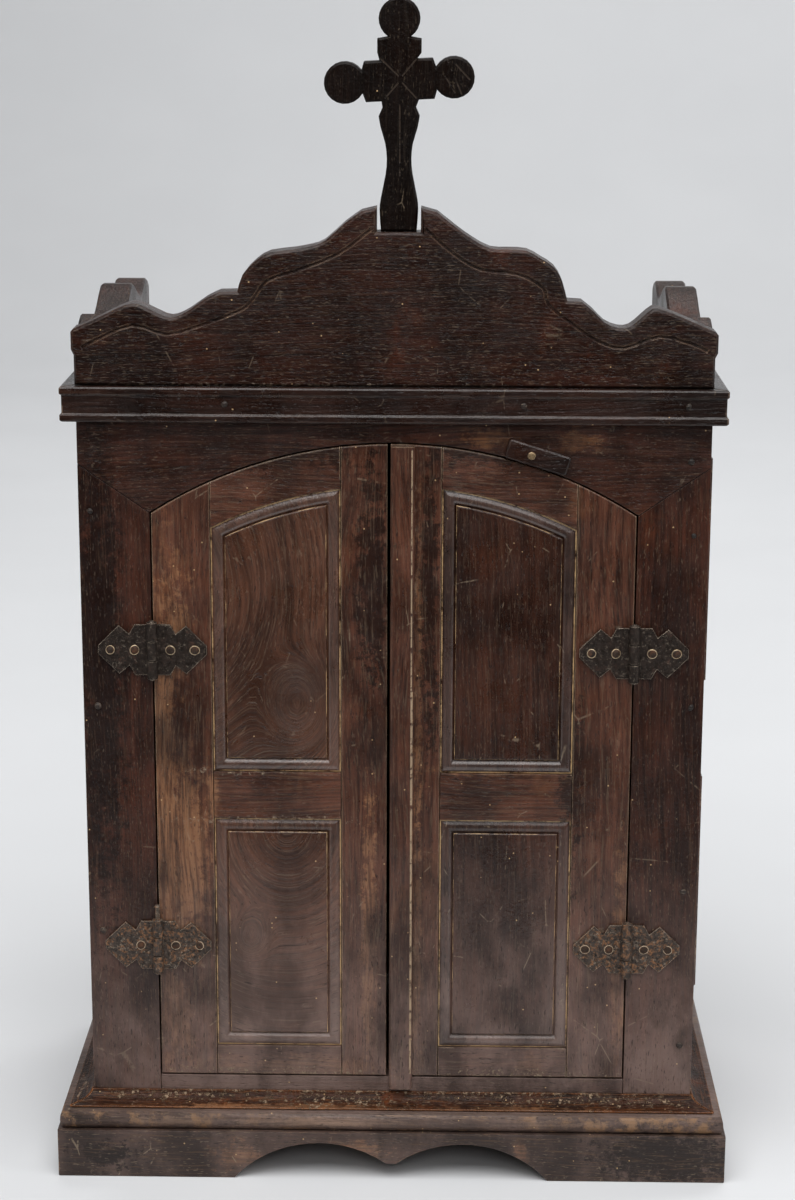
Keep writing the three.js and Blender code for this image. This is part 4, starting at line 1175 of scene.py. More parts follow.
class RepeatedShapes:
    """Geometry trees for the nails of the hinges and the plugs of the joints."""

    def __init__(self) -> None:
        """Builds both trees."""
        self.nail = self.build_nail()
        self.plug = self.build_plug()

    def scatter(
        self, graph: Graph, start: bpy.types.Node, shape: object, turn: tuple, spread: float
    ) -> bpy.types.NodeSocket:
        """Sets a shape on every point with a small random turn and size.

        Args:
            graph: The tree's graph.
            start: Its input node.
            shape: The shape's geometry, standing along +Z.
            turn: Most turn about each axis, in radians.
            spread: Most change of size, as a share.

        Returns:
            The realized geometry.
        """
        forward = graph.node(
            "GeometryNodeTransform", {"Geometry": shape, "Rotation": (math.pi / 2, 0.0, 0.0)}
        )
        chance = []
        for low, high in ((tuple(-a for a in turn), turn), ((1 - spread,) * 3, (1 + spread,) * 3)):
            made = graph.node("FunctionNodeRandomValue", data_type="FLOAT_VECTOR")
            sockets = {socket.name: socket for socket in made.inputs if socket.enabled}
            graph.feed(sockets["Min"], low)
            graph.feed(sockets["Max"], high)
            graph.feed(sockets["Seed"], start.outputs["Seed"])
            chance.append([socket for socket in made.outputs if socket.enabled][0])
        spread_out = graph.node("GeometryNodeInstanceOnPoints", {
            "Points": start.outputs["Geometry"],
            "Instance": forward.outputs["Geometry"],
            "Rotation": chance[0],
            "Scale": chance[1],
        })
        real = graph.node("GeometryNodeRealizeInstances", {"Geometry": spread_out.outputs["Instances"]})
        return real.outputs["Geometry"]

    def build_nail(self) -> bpy.types.NodeTree:
        """Hollow-headed nail: a bright rolled rim round a dark low dome.

        Returns:
            The tree.
        """
        inputs = [
            ("Geometry", "NodeSocketGeometry", None), ("Rim Radius", NUMBER, 0.0026),
            ("Rim Thickness", NUMBER, 0.00032), ("Dome Height", NUMBER, 0.0008), ("Seed", "NodeSocketInt", 3),
            ("Dome Finish", "NodeSocketMaterial", None), ("Rim Finish", "NodeSocketMaterial", None),
        ]
        outputs = [("Geometry", "NodeSocketGeometry")]
        graph, start, end = new_group("Nail Heads", "GeometryNodeTree", inputs, outputs)
        path = graph.node("GeometryNodeCurvePrimitiveCircle", {
            "Resolution": 16,
            "Radius": start.outputs["Rim Radius"],
        }, mode="RADIUS")
        section = graph.node("GeometryNodeCurvePrimitiveCircle", {
            "Resolution": 6,
            "Radius": start.outputs["Rim Thickness"],
        }, mode="RADIUS")
        rim = graph.node("GeometryNodeCurveToMesh", {
            "Curve": path.outputs["Curve"],
            "Profile Curve": section.outputs["Curve"],
        })
        marked = graph.node("GeometryNodeStoreNamedAttribute", {
            "Geometry": rim.outputs["Mesh"],
            "Name": "is_rim",
        }, data_type="BOOLEAN", domain="FACE")
        graph.feed([s for s in marked.inputs if s.name == "Value" and s.enabled][0], True)
        ball = graph.node(
            "GeometryNodeMeshUVSphere", {"Segments": 16, "Rings": 8, "Radius": start.outputs["Rim Radius"]}
        )
        ratio = graph.maths("DIVIDE", start.outputs["Dome Height"], start.outputs["Rim Radius"])
        flat = graph.node("ShaderNodeCombineXYZ", {0: 1.0, 1: 1.0, 2: ratio})
        dome = graph.node(
            "GeometryNodeTransform", {"Geometry": ball.outputs["Mesh"], "Scale": flat.outputs[0]}
        )
        whole = graph.node("GeometryNodeJoinGeometry")
        graph.feed(whole.inputs[0], marked.outputs["Geometry"])
        graph.feed(whole.inputs[0], dome.outputs["Geometry"])
        real = self.scatter(graph, start, whole.outputs[0], (0.16, 0.6, 0.16), 0.07)
        domed = graph.node(
            "GeometryNodeSetMaterial", {"Geometry": real, "Material": start.outputs["Dome Finish"]}
        )
        is_rim = graph.node("GeometryNodeInputNamedAttribute", {"Name": "is_rim"}, data_type="BOOLEAN")
        rimmed = graph.node("GeometryNodeSetMaterial", {
            "Geometry": domed.outputs["Geometry"],
            "Selection": [s for s in is_rim.outputs if s.enabled][0],
            "Material": start.outputs["Rim Finish"],
        })
        graph.feed(end.inputs["Geometry"], rimmed.outputs["Geometry"])
        return graph.tree

    def build_plug(self) -> bpy.types.NodeTree:
        """Wooden plug over a sunk nail, a little proud of the board.

        Returns:
            The tree.
        """
        inputs = [
            ("Geometry", "NodeSocketGeometry", None), ("Plug Radius", NUMBER, 0.0019),
            ("Plug Height", NUMBER, 0.0006), ("Seed", "NodeSocketInt", 5),
            ("Finish", "NodeSocketMaterial", None),
        ]
        outputs = [("Geometry", "NodeSocketGeometry")]
        graph, start, end = new_group("Joint Plugs", "GeometryNodeTree", inputs, outputs)
        plug = graph.node("GeometryNodeMeshCone", {
            "Vertices": 11,
            "Radius Top": graph.times(start.outputs["Plug Radius"], 0.82),
            "Radius Bottom": start.outputs["Plug Radius"],
            "Depth": start.outputs["Plug Height"],
        })
        real = self.scatter(graph, start, plug.outputs["Mesh"], (0.06, 3.0, 0.06), 0.22)
        finished = graph.node(
            "GeometryNodeSetMaterial", {"Geometry": real, "Material": start.outputs["Finish"]}
        )
        graph.feed(end.inputs["Geometry"], finished.outputs["Geometry"])
        return graph.tree


@dataclass
class Plinth:
    """Scalloped foot boards and the base mouldings above them."""

    edge: float = 0.9
    foot_top: float = 26.0
    cove_edge: float = 0.5
    cove_lip: float = 43.0

    def build(self, shop: Workshop) -> None:
        """Dresses every board of the base.

        Args:
            shop: The finishes and tools.
        """
        wood, cove = shop.base_wood, shop.cove_wood
        shop.dress_board("plinth_front", Axis.ALONG_X, Face.FRONT, wood, edge=self.edge, rub=self.foot_rub)
        for side in ("left", "right"):
            node = f"plinth_{side}"
            shop.dress_board(node, Axis.ALONG_Y, Face.SIDE, wood, edge=self.edge, rub=self.foot_rub)
            node = f"base_cove_{side}"
            shop.dress_board(node, Axis.ALONG_Y, Face.SIDE, cove, edge=self.cove_edge, rub=self.cove_rub)
        shop.dress_board(
            "plinth_back", Axis.ALONG_X, Face.FRONT, shop.back_wood, Slot.BACK_WOOD, edge=self.edge
        )
        shop.dress_board("floor_board", Axis.ALONG_X, Face.TOP, shop.pale_sheen_torus_wood, edge=0.0)
        shop.dress_board(
            "base_cove_front", Axis.ALONG_X, Face.FRONT, cove, edge=self.cove_edge, rub=self.cove_rub
        )

    def foot_rub(self, p: Vector) -> float:
        """Feet and scallops are rubbed more than the joints."""
        return 0.5 if p.z < self.foot_top else 0.1

    def cove_rub(self, p: Vector) -> float:
        """The lip of the cove is rubbed to bare wood."""
        return 1.0 if p.z < self.cove_lip else 0.5


@dataclass
class CaseBox:
    """Walls, back and front frame of the cabinet, with the raised panels on its sides."""

    edge: float = 0.8
    panel_edge: float = 0.5
    rubbed_top: float = 400.0

    def build(self, shop: Workshop) -> None:
        """Dresses every board of the case.

        Args:
            shop: The finishes and tools.
        """
        wood = shop.case_wood
        panel = shop.panel_wood
        for side in ("left", "right"):
            shop.dress_board(f"side_wall_{side}", Axis.ALONG_Z, Face.SIDE, wood, edge=self.edge)
            shop.dress_board(
                f"jamb_{side}", Axis.ALONG_Z, Face.FRONT, wood, edge=self.edge, rub=self.jamb_rub
            )
            for place in ("upper", "lower"):
                node = f"side_panel_{side}_{place}"
                shop.dress_board(node, Axis.ALONG_Z, Face.SIDE, panel, Slot.PANEL_WOOD, edge=self.panel_edge)
        shop.dress_board("head_rail", Axis.ALONG_X, Face.FRONT, wood, edge=self.edge, rub=self.head_rub)
        shop.dress_board("sill_rail", Axis.ALONG_X, Face.FRONT, wood, edge=self.edge)
        shop.dress_board(
            "back_board", Axis.ALONG_Z, Face.FRONT, shop.back_wood, Slot.BACK_WOOD, edge=self.edge
        )

    def jamb_rub(self, p: Vector) -> float:
        """The outer front corners and the edges beside the doors are rubbed."""
        at_edge = near(abs(p.x), CASE_HALF) or near(abs(p.x), OPENING_HALF)
        return 0.55 if at_edge and near(p.y, FACE_Y) and p.z < self.rubbed_top else 0.1

    def head_rub(self, p: Vector) -> float:
        """The arched edge is rubbed a little, the mitres not at all."""
        return 0.4 if near(off_arch(p), 0.0, 1.0) else 0.05


@dataclass
class TopAndCornice:
    """Top board with the banded cornice on three of its edges."""

    edge: float = 0.35

    def build(self, shop: Workshop) -> None:
        """Dresses the top board and the cornice.

        Args:
            shop: The finishes and tools.
        """
        wood = shop.cornice_wood
        shop.dress_board("top_board", Axis.ALONG_X, Face.TOP, wood, edge=self.edge)
        shop.dress_board("cornice_front", Axis.ALONG_X, Face.FRONT, wood, edge=self.edge, rub=self.band_rub)
        for side in ("left", "right"):
            node = f"cornice_{side}"
            shop.dress_board(node, Axis.ALONG_Y, Face.SIDE, wood, edge=self.edge, rub=self.band_rub)

    def band_rub(self, _: Vector) -> float:
        """Every band of the cornice has a pale arris."""
        return 0.8


@dataclass
class Cresting:
    """Carved cresting board, the two gallery boards behind it, and the cross."""

    edge: float = 0.5
    cross_edge: float = 0.4
    highlight_from: float = 490.0
    crest_front_y: float = -97.0

    def build(self, shop: Workshop) -> None:
        """Dresses the boards above the cornice.

        Args:
            shop: The finishes and tools.
        """
        wood = shop.crest_wood
        shop.dress_board("crest_front", Axis.ALONG_X, Face.FRONT, wood, edge=self.edge, rub=self.crest_highlight)
        for side in ("left", "right"):
            shop.dress_board(f"gallery_{side}", Axis.ALONG_Y, Face.SIDE, wood, edge=self.edge)
        shop.dress_board("cross", Axis.ALONG_Z, Face.FRONT, shop.cross_wood, edge=self.cross_edge)

    def crest_highlight(self, p: Vector) -> float:
        """The front arris of the outline gets a painted highlight, a pale line along it, with a coat and a
        rounder edge.
        """
        return 0.9 if p.y < self.crest_front_y and p.z > self.highlight_from else 0.2


@dataclass(frozen=True)
class Swirl:
    """Grain that sweeps round a centre off the panel, with a knot, in millimetres."""

    centre: Point
    squash: float
    knot: Point
    knot_reach: float


@dataclass
class FieldedPanel:
    """Raised door panel: a dusty groove, a convex band, a fillet and a flat field."""

    door: str
    place: str
    body: Body
    swirl: Swirl | None = None
    profile: tuple[Point, ...] = (
        (0.0, 1.5), (0.6, 1.3), (1.1, 1.1), (2.0, 0.45), (3.5, 0.0), (5.0, -0.1), (6.4, 0.4), (7.2, 1.4),
        (7.8, 1.8), (8.3, 0.8), (8.8, 0.45), (9.3, 0.4),
    )
    groove_rings: int = 2
    arris_rings: tuple[int, ...] = (9,)
    back_depth: float = 11.0
    arch_inset: float = 25.2
    cell: float = 4.0

    def build(self, shop: Workshop) -> None:
        """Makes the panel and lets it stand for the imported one.

        Args:
            shop: The finishes and tools.
        """
        node = f"door_{self.door}_{self.place}_panel"
        low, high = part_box(node)
        left, right, bottom, top = low.x / MM, high.x / MM, low.z / MM, high.z / MM
        # Painted sheen: the convex band is greyed as if reflecting the lights, more on the upper panels; the
        # same value gives it a real coat.
        sheen = 1.0 if self.place == "upper" else 0.4
        columns = self.stations(left, right)
        rows = self.stations(bottom, top)
        work = bmesh.new()
        trace = work.verts.layers.float.new("trace")
        band_gloss_and_painted_sheen = work.verts.layers.float.new("band_gloss_and_painted_sheen")
        grid = []
        for x, column_ring, _ in columns:
            line = []
            for _, row_ring, share in rows:
                ring = min(column_ring, row_ring)
                z = self.height_at(x, row_ring, share, bottom, top)
                vertex = work.verts.new((x * MM, (FACE_Y + self.profile[ring][1]) * MM, z * MM))
                vertex[trace] = self.trace_of(ring)
                vertex[band_gloss_and_painted_sheen] = sheen if 3 <= ring <= 6 else 0.0
                line.append(vertex)
            grid.append(line)
        for i in range(len(columns) - 1):
            for j in range(len(rows) - 1):
                self.fill_cell(work, grid, i, j, columns, rows)
        rim = [line[0] for line in grid] + grid[-1][1:]
        rim += [line[-1] for line in reversed(grid[:-1])] + grid[0][1:-1][::-1]
        back_y = (FACE_Y + self.back_depth) * MM
        behind = [work.verts.new((v.co.x, back_y, v.co.z)) for v in rim]
        for k, vertex in enumerate(rim):
            after = (k + 1) % len(rim)
            work.faces.new((vertex, behind[k], behind[after], rim[after]))
        work.faces.new(behind[::-1])
        bmesh.ops.recalc_face_normals(work, faces=work.faces[:])
        mesh = plain_mesh(work, node + "_dressed")
        shop.lay_grain(mesh, self.timber(shop, mesh, node))
        wood = shop.panel_wood if self.door == "left" else shop.dark_panel_wood
        shop.finish_piece(mesh, node + "_wood", self.body, Slot.PANEL_WOOD, [wood], [node])
        mesh.set_sharp_from_angle(angle=GROOVE_ANGLE)

    def stations(self, start: float, end: float) -> list[tuple[float, int, float]]:
        """Places the grid lines along one direction.

        Args:
            start: First edge.
            end: Last edge.

        Returns:
            For each line its place, the profile ring that it lies on, and its share of the field.
        """
        rings = len(self.profile)
        inset = self.profile[-1][0]
        count = max(2, round((end - start - 2 * inset) / self.cell))
        lines = [(start + self.profile[k][0], k, 0.0) for k in range(rings)]
        for i in range(1, count):
            share = i / count
            lines.append((start + inset + (end - start - 2 * inset) * share, rings - 1, share))
        lines += [(end - self.profile[k][0], k, 1.0) for k in reversed(range(rings))]
        return lines

    def height_at(self, x: float, ring: int, share: float, bottom: float, top: float) -> float:
        """Height of a grid point.

        Args:
            x: Its place across the panel.
            ring: The profile ring of its row.
            share: 0 in the rows at the foot, 1 in the rows at the head, between them in the field.
            bottom: Foot of the panel.
            top: Highest point of the panel.

        Returns:
            The height.
        """
        inset = self.profile[ring][0]
        radius = ARCH_RADIUS - self.arch_inset - inset
        head = ARCH_CENTRE + math.sqrt(radius**2 - x**2) if self.place == "upper" else top - inset
        return (bottom + inset) * (1 - share) + head * share

    def trace_of(self, ring: int) -> float:
        """Returns how strong the pale line is on a ring of the profile."""
        if ring < self.groove_rings:
            return 1.0
        return 0.95 if ring in self.arris_rings else 0.0

    def fill_cell(
        self,
        work: bmesh.types.BMesh,
        grid: list[list[bmesh.types.BMVert]],
        i: int,
        j: int,
        columns: list[tuple[float, int, float]],
        rows: list[tuple[float, int, float]],
    ) -> None:
        """Fills one cell of the grid, split along the mitre where it lies on one.

        Args:
            work: The mesh.
            grid: Its front vertices.
            i: Column of the cell.
            j: Row of the cell.
            columns: The columns' stations.
            rows: The rows' stations.
        """
        a, b, c, d = grid[i][j], grid[i + 1][j], grid[i + 1][j + 1], grid[i][j + 1]
        field_ring = len(self.profile) - 1
        left_ring, right_ring = columns[i][1], columns[i + 1][1]
        low_ring, high_ring = rows[j][1], rows[j + 1][1]
        if min(left_ring, right_ring) == field_ring or min(low_ring, high_ring) == field_ring:
            work.faces.new((a, b, c, d))
            return
        rising = (left_ring < right_ring) == (low_ring < high_ring)
        corners_of = ((a, b, c), (a, c, d)) if rising else ((a, b, d), (b, c, d))
        for triangle in corners_of:
            work.faces.new(triangle)

    def timber(self, shop: Workshop, mesh: bpy.types.Mesh, node: str) -> TimberMap:
        """Chooses the panel's timber, straight or swirling.

        Args:
            shop: The tools.
            mesh: The panel.
            node: Text that picks the piece of timber.

        Returns:
            The map from a vertex to its place in the timber.
        """
        straight = shop.straight_grain(mesh, Axis.ALONG_Z.value, Face.FRONT.value, node)
        if self.swirl is None:
            return straight
        swirl = self.swirl

        def place(p: Vector) -> Vector:
            """Returns the place of a point in the swirling timber."""
            x, z = p.x / MM, p.z / MM
            sweep = math.hypot(x - swirl.centre[0], (z - swirl.centre[1]) * swirl.squash)
            to_knot = math.hypot(x - swirl.knot[0], (z - swirl.knot[1]) * 0.7)
            share = math.exp(-((to_knot / swirl.knot_reach) ** 2))
            across = sweep * (1 - share) + 1.6 * to_knot * share
            return Vector((z * MM, across * MM, 0.02 + p.y))

        return place


@dataclass
class Door:
    """One arched door: its frame and its two fielded panels."""

    side: str
    body: Body
    swirls: tuple[Swirl | None, Swirl | None] = (None, None)
    edge: float = 1.0
    astragal_edge: float = 0.35
    astragal_arris: float = 8.0

    def build(self, shop: Workshop) -> None:
        """Dresses every board of the door.

        Args:
            shop: The finishes and tools.
        """
        wood = shop.door_wood
        boards = [("hinge_stile", Axis.ALONG_Z), ("meeting_stile", Axis.ALONG_Z)]
        boards += [(part, Axis.ALONG_X) for part in ("top_rail", "mid_rail", "bottom_rail")]
        for part, along in boards:
            node = f"door_{self.side}_{part}"
            shop.dress_board(
                node, along, Face.FRONT, wood, Slot.DOOR_WOOD, self.body, self.edge, self.rim_rub_and_highlight
            )
        FieldedPanel(self.side, "upper", self.body, self.swirls[0]).build(shop)
        FieldedPanel(self.side, "lower", self.body, self.swirls[1]).build(shop)
        if self.side == "right":
            node = "door_right_astragal"
            edge, rub = self.astragal_edge, self.astragal_rub
            shop.dress_board(node, Axis.ALONG_Z, Face.FRONT, wood, Slot.DOOR_WOOD, self.body, edge, rub)

    def rim_rub_and_highlight(self, p: Vector) -> float:
        """The door's own rim is rounded and rubbed, its arched arris painted paler as a painted highlight
        too; the joints between its boards are close and sharp.
        """
        if not near(p.y, FACE_Y):
            return 0.0
        # Arched arris: rubbed, and painted paler as a painted highlight.
        if near(off_arch(p), -DOOR_GAP, 0.4):
            return 1.0
        return 0.5 if near(p.z, DOOR_BOTTOM) or near(abs(p.x), OPENING_HALF - DOOR_GAP) else 0.0

    def astragal_rub(self, p: Vector) -> float:
        """The right arris of the astragal is rubbed to bare wood."""
        return 1.0 if p.x > self.astragal_arris else 0.3


@dataclass
class Hinge:
    """One butterfly hinge: two forged leaves, their knuckles, the pin and the nails."""

    side: str
    place: str
    height: float
    reach: float = 31.5
    thickness: float = 1.6
    half_height: float = 15.1
    shoulder: float = 10.2
    notch: Point = (13.4, 9.3)
    barb: Point = (19.5, 14.4)
    tip_half: float = 2.5
    knuckle_radius: float = 3.1
    knuckle_half: float = 17.0
    middle_half: float = 5.6
    seam: float = 0.4
    pin_radius: float = 1.4
    nail_reaches: tuple[float, float] = (10.4, 24.5)
    nail_proud: float = 0.15
    edge: float = 0.45
    knuckle_ease: float = 0.35
    knuckle_sides: int = 20
    pin_sides: int = 14

    def build(self, shop: Workshop, shapes: RepeatedShapes) -> None:
        """Makes the leaves, the pin and the nails.

        Args:
            shop: The finishes and tools.
            shapes: The nail's geometry tree.
        """
        iron = shop.dark_iron if self.place == "upper" else shop.rusty_iron
        outward = -1 if self.side == "left" else 1
        door = Body.LEFT_DOOR if self.side == "left" else Body.RIGHT_DOOR
        axis_x = outward * HINGE_AXIS_X
        ends_from = self.middle_half + self.seam
        ends = [(-self.knuckle_half, -ends_from), (ends_from, self.knuckle_half)]
        middle = [(-self.middle_half, self.middle_half)]
        lost_nail = self.side == "left" and self.place == "lower"
        for part, body, way, spans in (
            ("frame_leaf", Body.CASE, outward, ends), ("door_leaf", door, -outward, middle),
        ):
            node = f"hinge_{self.side}_{self.place}_{part}"
            mesh = self.leaf_mesh(node, axis_x, way, spans)
            shop.finish_piece(mesh, node + "_iron", body, Slot.IRON, [iron], [node], self.edge)
            reaches = self.nail_reaches[:1] if lost_nail and part == "frame_leaf" else self.nail_reaches
            plate_y = HINGE_AXIS_Y + self.knuckle_radius - self.thickness
            nail_y = plate_y - self.nail_proud
            places = [Vector((axis_x + way * reach, nail_y, self.height)) * MM for reach in reaches]
            rim = shop.old_brass if self.place == "upper" else shop.dull_brass
            values = {"Seed": int(self.height) + way, "Dome Finish": shop.nail_iron, "Rim Finish": rim}
            shop.repeat(node + "_nails", shapes.nail, places, values, body, Slot.BRASS)
        node = f"hinge_{self.side}_{self.place}_pin"
        low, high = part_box(node)
        mesh = self.pin_mesh(node, axis_x, low.z / MM, high.z / MM)
        shop.finish_piece(mesh, node + "_iron", Body.CASE, Slot.IRON, [iron], [node])

    def leaf_mesh(self, node: str, axis_x: float, way: int, spans: Sequence[Point]) -> bpy.types.Mesh:
        """Makes a leaf with its share of the knuckle.

        Args:
            node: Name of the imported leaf.
            axis_x: Place of the hinge axis.
            way: -1 where the leaf lies to the left of the axis, 1 to the right.
            spans: Lowest and highest point of each knuckle, from the hinge's middle.

        Returns:
            The mesh.
        """
        upper = [
            (0.0, self.half_height), (self.shoulder, self.half_height), self.notch, self.barb,
            (self.reach, self.tip_half),
        ]
        outline = upper + [(x, -z) for x, z in reversed(upper)]
        work = bmesh.new()
        front_y = HINGE_AXIS_Y + self.knuckle_radius - self.thickness
        loops = []
        for y in (front_y, front_y + self.thickness):
            corner_points = [Vector((axis_x + way * x, y, self.height + z)) * MM for x, z in outline]
            loops.append([work.verts.new(point) for point in corner_points])
        work.faces.new(loops[0])
        work.faces.new(loops[1][::-1])
        for k in range(len(outline)):
            after = (k + 1) % len(outline)
            work.faces.new((loops[0][k], loops[1][k], loops[1][after], loops[0][after]))
        for low, high in spans:
            turned(work, axis_x, HINGE_AXIS_Y, self.barrel(low, high), self.knuckle_sides)
        bmesh.ops.recalc_face_normals(work, faces=work.faces[:])
        weight = work.edges.layers.float.new("bevel_weight_edge")
        for edge in work.edges:
            if edge.calc_face_angle(0.0) > EDGE_ANGLE:
                edge[weight] = 1.0
        return plain_mesh(work, node + "_dressed")

    def barrel(self, low: float, high: float) -> list[Point]:
        """Returns the radius and height of one knuckle's outline, eased at both ends."""
        r, ease = self.knuckle_radius, self.knuckle_ease
        z0, z1 = self.height + low, self.height + high
        return [(0.0, z0), (r - ease, z0), (r, z0 + ease), (r, z1 - ease), (r - ease, z1), (0.0, z1)]

    def pin_mesh(self, node: str, axis_x: float, low: float, high: float) -> bpy.types.Mesh:
        """Makes the pin with its hammered head.

        Args:
            node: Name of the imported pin.
            axis_x: Place of the hinge axis.
            low: Its foot.
            high: Its head.

        Returns:
            The mesh.
        """
        r = self.pin_radius
        outline = [
            (0.0, low), (r * 0.7, low), (r, low + 0.5), (r, high - 2.0), (r * 1.25, high - 1.4),
            (r * 1.25, high - 0.7), (r * 0.8, high - 0.1), (0.0, high),
        ]
        work = bmesh.new()
        turned(work, axis_x, HINGE_AXIS_Y, outline, self.pin_sides)
        bmesh.ops.recalc_face_normals(work, faces=work.faces[:])
        return plain_mesh(work, node + "_dressed")


def turned(work: bmesh.types.BMesh, x: float, y: float, outline: Sequence[Point], sides: int) -> None:
    """Adds a closed turned shape about an upright axis, in millimetres.

    Args:
        work: The mesh that it goes into.
        x: Place of the axis.
        y: Place of the axis.
        outline: Radius and height of each ring; the first and last radius are 0.
        sides: Number of sides.
    """
    rings = []
    for radius, z in outline:
        if radius == 0.0:
            rings.append([work.verts.new((x * MM, y * MM, z * MM))] * sides)
            continue
        ring = []
        for k in range(sides):
            angle = math.tau * k / sides
            point = Vector((x + radius * math.cos(angle), y + radius * math.sin(angle), z))
            ring.append(work.verts.new(point * MM))
        rings.append(ring)
    for low, high in zip(rings, rings[1:]):
        for k in range(sides):
            after = (k + 1) % sides
            loop = []
            for vertex in (low[k], low[after], high[after], high[k]):
                if vertex not in loop:
                    loop.append(vertex)
            work.faces.new(loop)


@dataclass
class TurnButton:
    """Wooden turn button on its nail."""

    edge: float = 0.6
    nail_edge: float = 0.2

    def build(self, shop: Workshop) -> None:
        """Dresses the button and its nail.

        Args:
            shop: The finishes and tools.
        """
        wood = shop.cornice_wood
        shop.dress_board(
            "turn_button", Axis.ALONG_X, Face.FRONT, wood, Slot.DOOR_WOOD, Body.BUTTON, self.edge
        )
        mesh = shop.carried_mesh("turn_button_nail")
        nodes = ["turn_button_nail"]
        brass = [shop.old_brass]
        shop.finish_piece(mesh, "turn_button_nail_brass", Body.CASE, Slot.BRASS, brass, nodes, self.nail_edge)


@dataclass
class JointPlugs:
    """Wooden plugs over the sunk nails of the case, in millimetres."""

    frame_places: tuple[Point, ...] = (
        (171.4, 393.1), (172.9, 291.0), (171.7, 177.8), (168.7, 435.9), (-171.6, 289.2), (-173.4, 405.1),
        (-172.0, 150.0), (172.5, 80.0),
    )
    cornice_places: tuple[Point, ...] = ((73.2, 468.5), (165.6, 468.5), (-95.0, 468.5))
    cornice_y: float = -102.2

    def build(self, shop: Workshop, shapes: RepeatedShapes) -> None:
        """Sets the plugs into the frame and the cornice.

        Args:
            shop: The finishes and tools.
            shapes: The plug's geometry tree.
        """
        places = [Vector((x, FACE_Y, z)) * MM for x, z in self.frame_places]
        places += [Vector((x, self.cornice_y, z)) * MM for x, z in self.cornice_places]
        values = {"Finish": shop.plug_wood}
        shop.repeat("joint_plugs", shapes.plug, places, values, Body.CASE, Slot.CASE_WOOD)


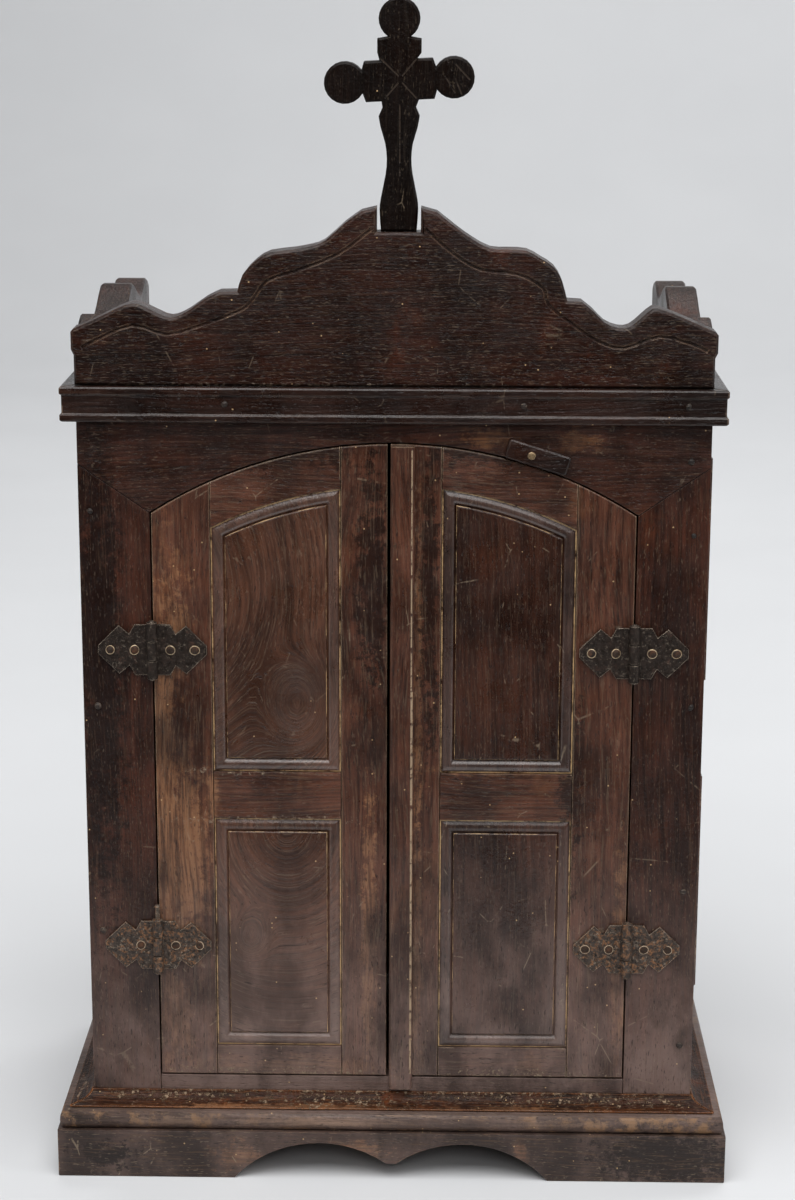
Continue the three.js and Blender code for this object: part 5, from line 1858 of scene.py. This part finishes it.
@dataclass
class Studio:
    """Pale sweep, soft lights and the camera."""

    sweep_width: float = 12.0
    sweep_front: float = -1.55
    sweep_bend: float = 2.9
    bend_radius: float = 1.6
    bend_steps: int = 24
    sweep_height: float = 5.0
    camera_place: tuple[float, float, float] = (0.0272, -1.5233, 0.7118)
    camera_yaw: float = 0.99
    camera_pitch: float = 14.06
    camera_roll: float = 0.20
    focal_pixels: float = 2561.0
    frame_height: float = 1200.0
    sensor: float = 36.0

    def build(self) -> None:
        """Makes the sweep, the lights and the camera."""
        self.build_sweep()
        self.build_lights()
        self.build_room()
        self.build_camera()

    def build_sweep(self) -> None:
        """Makes the floor that curves up into the backdrop; in front of the altar it is painted near-black
        for glossy rays only, a painted dark reflection in the altar's front faces.
        """
        section = [(self.sweep_front, 0.0), (self.sweep_bend, 0.0)]
        for i in range(1, self.bend_steps + 1):
            angle = math.pi / 2 * i / self.bend_steps
            y = self.sweep_bend + self.bend_radius * math.sin(angle)
            section.append((y, self.bend_radius * (1 - math.cos(angle))))
        section.append((section[-1][0], self.sweep_height))
        half = self.sweep_width / 2
        work = bmesh.new()
        rows = [[work.verts.new((x, y, z)) for x in (-half, half)] for y, z in section]
        for low, high in zip(rows, rows[1:]):
            work.faces.new((low[0], low[1], high[1], high[0]))
        mesh = plain_mesh(work, "studio_sweep")
        mesh.shade_smooth()
        material = bpy.data.materials.new("StudioPaper")
        material.use_nodes = True
        graph = Graph(material.node_tree)
        shader = material.node_tree.nodes["Principled BSDF"]
        place = graph.place()
        marks = graph.spread(graph.noise(place, 3.0, 2.0, 0.6), 0.3, 0.7)
        paper = graph.blend(marks, (0.74, 0.75, 0.765), (0.76, 0.77, 0.785))
        parts = graph.node("ShaderNodeSeparateXYZ", {0: place})
        # Painted reflection: the floor before the altar shows near-black in what glossy surfaces reflect.
        before = graph.spread(parts.outputs["Y"], -0.35, -0.7)
        mirrored = graph.node("ShaderNodeLightPath").outputs["Is Glossy Ray"]
        painted_dark_in_reflections = graph.times(before, mirrored)
        graph.feed(shader.inputs["Base Color"], graph.blend(painted_dark_in_reflections, paper, (0.01, 0.01, 0.01)))
        shader.inputs["Roughness"].default_value = 0.8
        shader.inputs["Specular IOR Level"].default_value = 0.2
        mesh.materials.append(material)
        sweep = add_object("studio_sweep", mesh)

    def soft_light(self, name: str, place: Vector, target: Vector, size: Point, power: float) -> None:
        """Adds one rectangular soft light.

        Args:
            name: Name of the light.
            place: Where it stands.
            target: Point that it looks at.
            size: Its width and height.
            power: Its power in watts.
        """
        light = bpy.data.lights.new(name, "AREA")
        light.shape = "RECTANGLE"
        light.size, light.size_y = size
        light.energy = power
        holder = add_object(name, light)
        holder.location = place
        holder.rotation_euler = (target - place).to_track_quat("-Z", "Y").to_euler()

    def build_lights(self) -> None:
        """Adds the overhead softbox, the two fills and the backdrop light."""
        middle = Vector((0.0, 0.0, 0.3))
        self.soft_light("top_softbox", Vector((-0.1, -0.95, 2.3)), middle, (2.4, 2.0), 58.0)
        self.soft_light("front_fill", Vector((0.3, -2.7, 1.7)), middle, (1.6, 0.8), 12.0)
        self.soft_light("left_fill", Vector((-2.3, -0.9, 1.2)), middle, (0.8, 1.6), 5.0)
        self.soft_light("right_fill", Vector((2.3, -0.8, 1.2)), middle, (0.8, 1.6), 12.0)
        backdrop = Vector((0.6, 3.6, 0.4))
        self.soft_light("backdrop_light", Vector((0.9, 1.6, 3.2)), backdrop, (4.0, 1.5), 90.0)

    def build_room(self) -> None:
        """Lets the room look pale, but be dim for what it lights and for what reflects it."""
        world = bpy.data.worlds.new("dim_room")
        world.use_nodes = True
        graph = Graph(world.node_tree)
        background = world.node_tree.nodes["Background"]
        seen = graph.node("ShaderNodeLightPath").outputs["Is Camera Ray"]
        graph.feed(background.inputs["Color"], graph.blend(seen, (0.02, 0.02, 0.021), (0.66, 0.68, 0.71)))
        bpy.context.scene.world = world
        bpy.context.scene.view_settings.view_transform = "Standard"

    def build_camera(self) -> None:
        """Places the camera at the photograph's viewing angle."""
        yaw, pitch = math.radians(self.camera_yaw), math.radians(self.camera_pitch)
        ahead = Vector((-math.sin(yaw), math.cos(yaw), 0.0))
        forward = ahead * math.cos(pitch) - Vector((0.0, 0.0, math.sin(pitch)))
        level = Vector((math.cos(yaw), math.sin(yaw), 0.0))
        upward = level.cross(forward)
        roll = math.radians(self.camera_roll)
        right = level * math.cos(roll) + upward * math.sin(roll)
        up = upward * math.cos(roll) - level * math.sin(roll)
        turn = Matrix((right, up, -forward)).transposed().to_4x4()
        camera = bpy.data.cameras.new("front_camera")
        camera.sensor_width = self.sensor
        camera.sensor_fit = "AUTO"
        camera.lens = self.sensor * self.focal_pixels / self.frame_height
        camera.clip_start = 0.05
        camera.clip_end = 40.0
        holder = add_object("front_camera", camera)
        holder.matrix_world = Matrix.Translation(self.camera_place) @ turn
        bpy.context.scene.camera = holder


def main() -> None:
    """Builds the altar's looks and the studio, and keeps the sizes."""
    logging.basicConfig(level=logging.INFO, format="%(name)s %(message)s")
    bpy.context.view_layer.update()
    shop = Workshop()
    shapes = RepeatedShapes()
    Plinth().build(shop)
    CaseBox().build(shop)
    TopAndCornice().build(shop)
    Cresting().build(shop)
    upper_swirl = Swirl(centre=(-135.0, 362.0), squash=0.75, knot=(-56.0, 292.0), knot_reach=16.0)
    lower_swirl = Swirl(centre=(-62.0, 215.0), squash=0.8, knot=(-84.0, 148.0), knot_reach=9.0)
    Door("left", Body.LEFT_DOOR, (upper_swirl, lower_swirl)).build(shop)
    Door("right", Body.RIGHT_DOOR).build(shop)
    for side in ("left", "right"):
        for place, height in (("upper", 323.6), ("lower", 141.6)):
            Hinge(side, place, height).build(shop, shapes)
    TurnButton().build(shop)
    JointPlugs().build(shop, shapes)
    Studio().build()


if __name__ == "__main__":
    main()
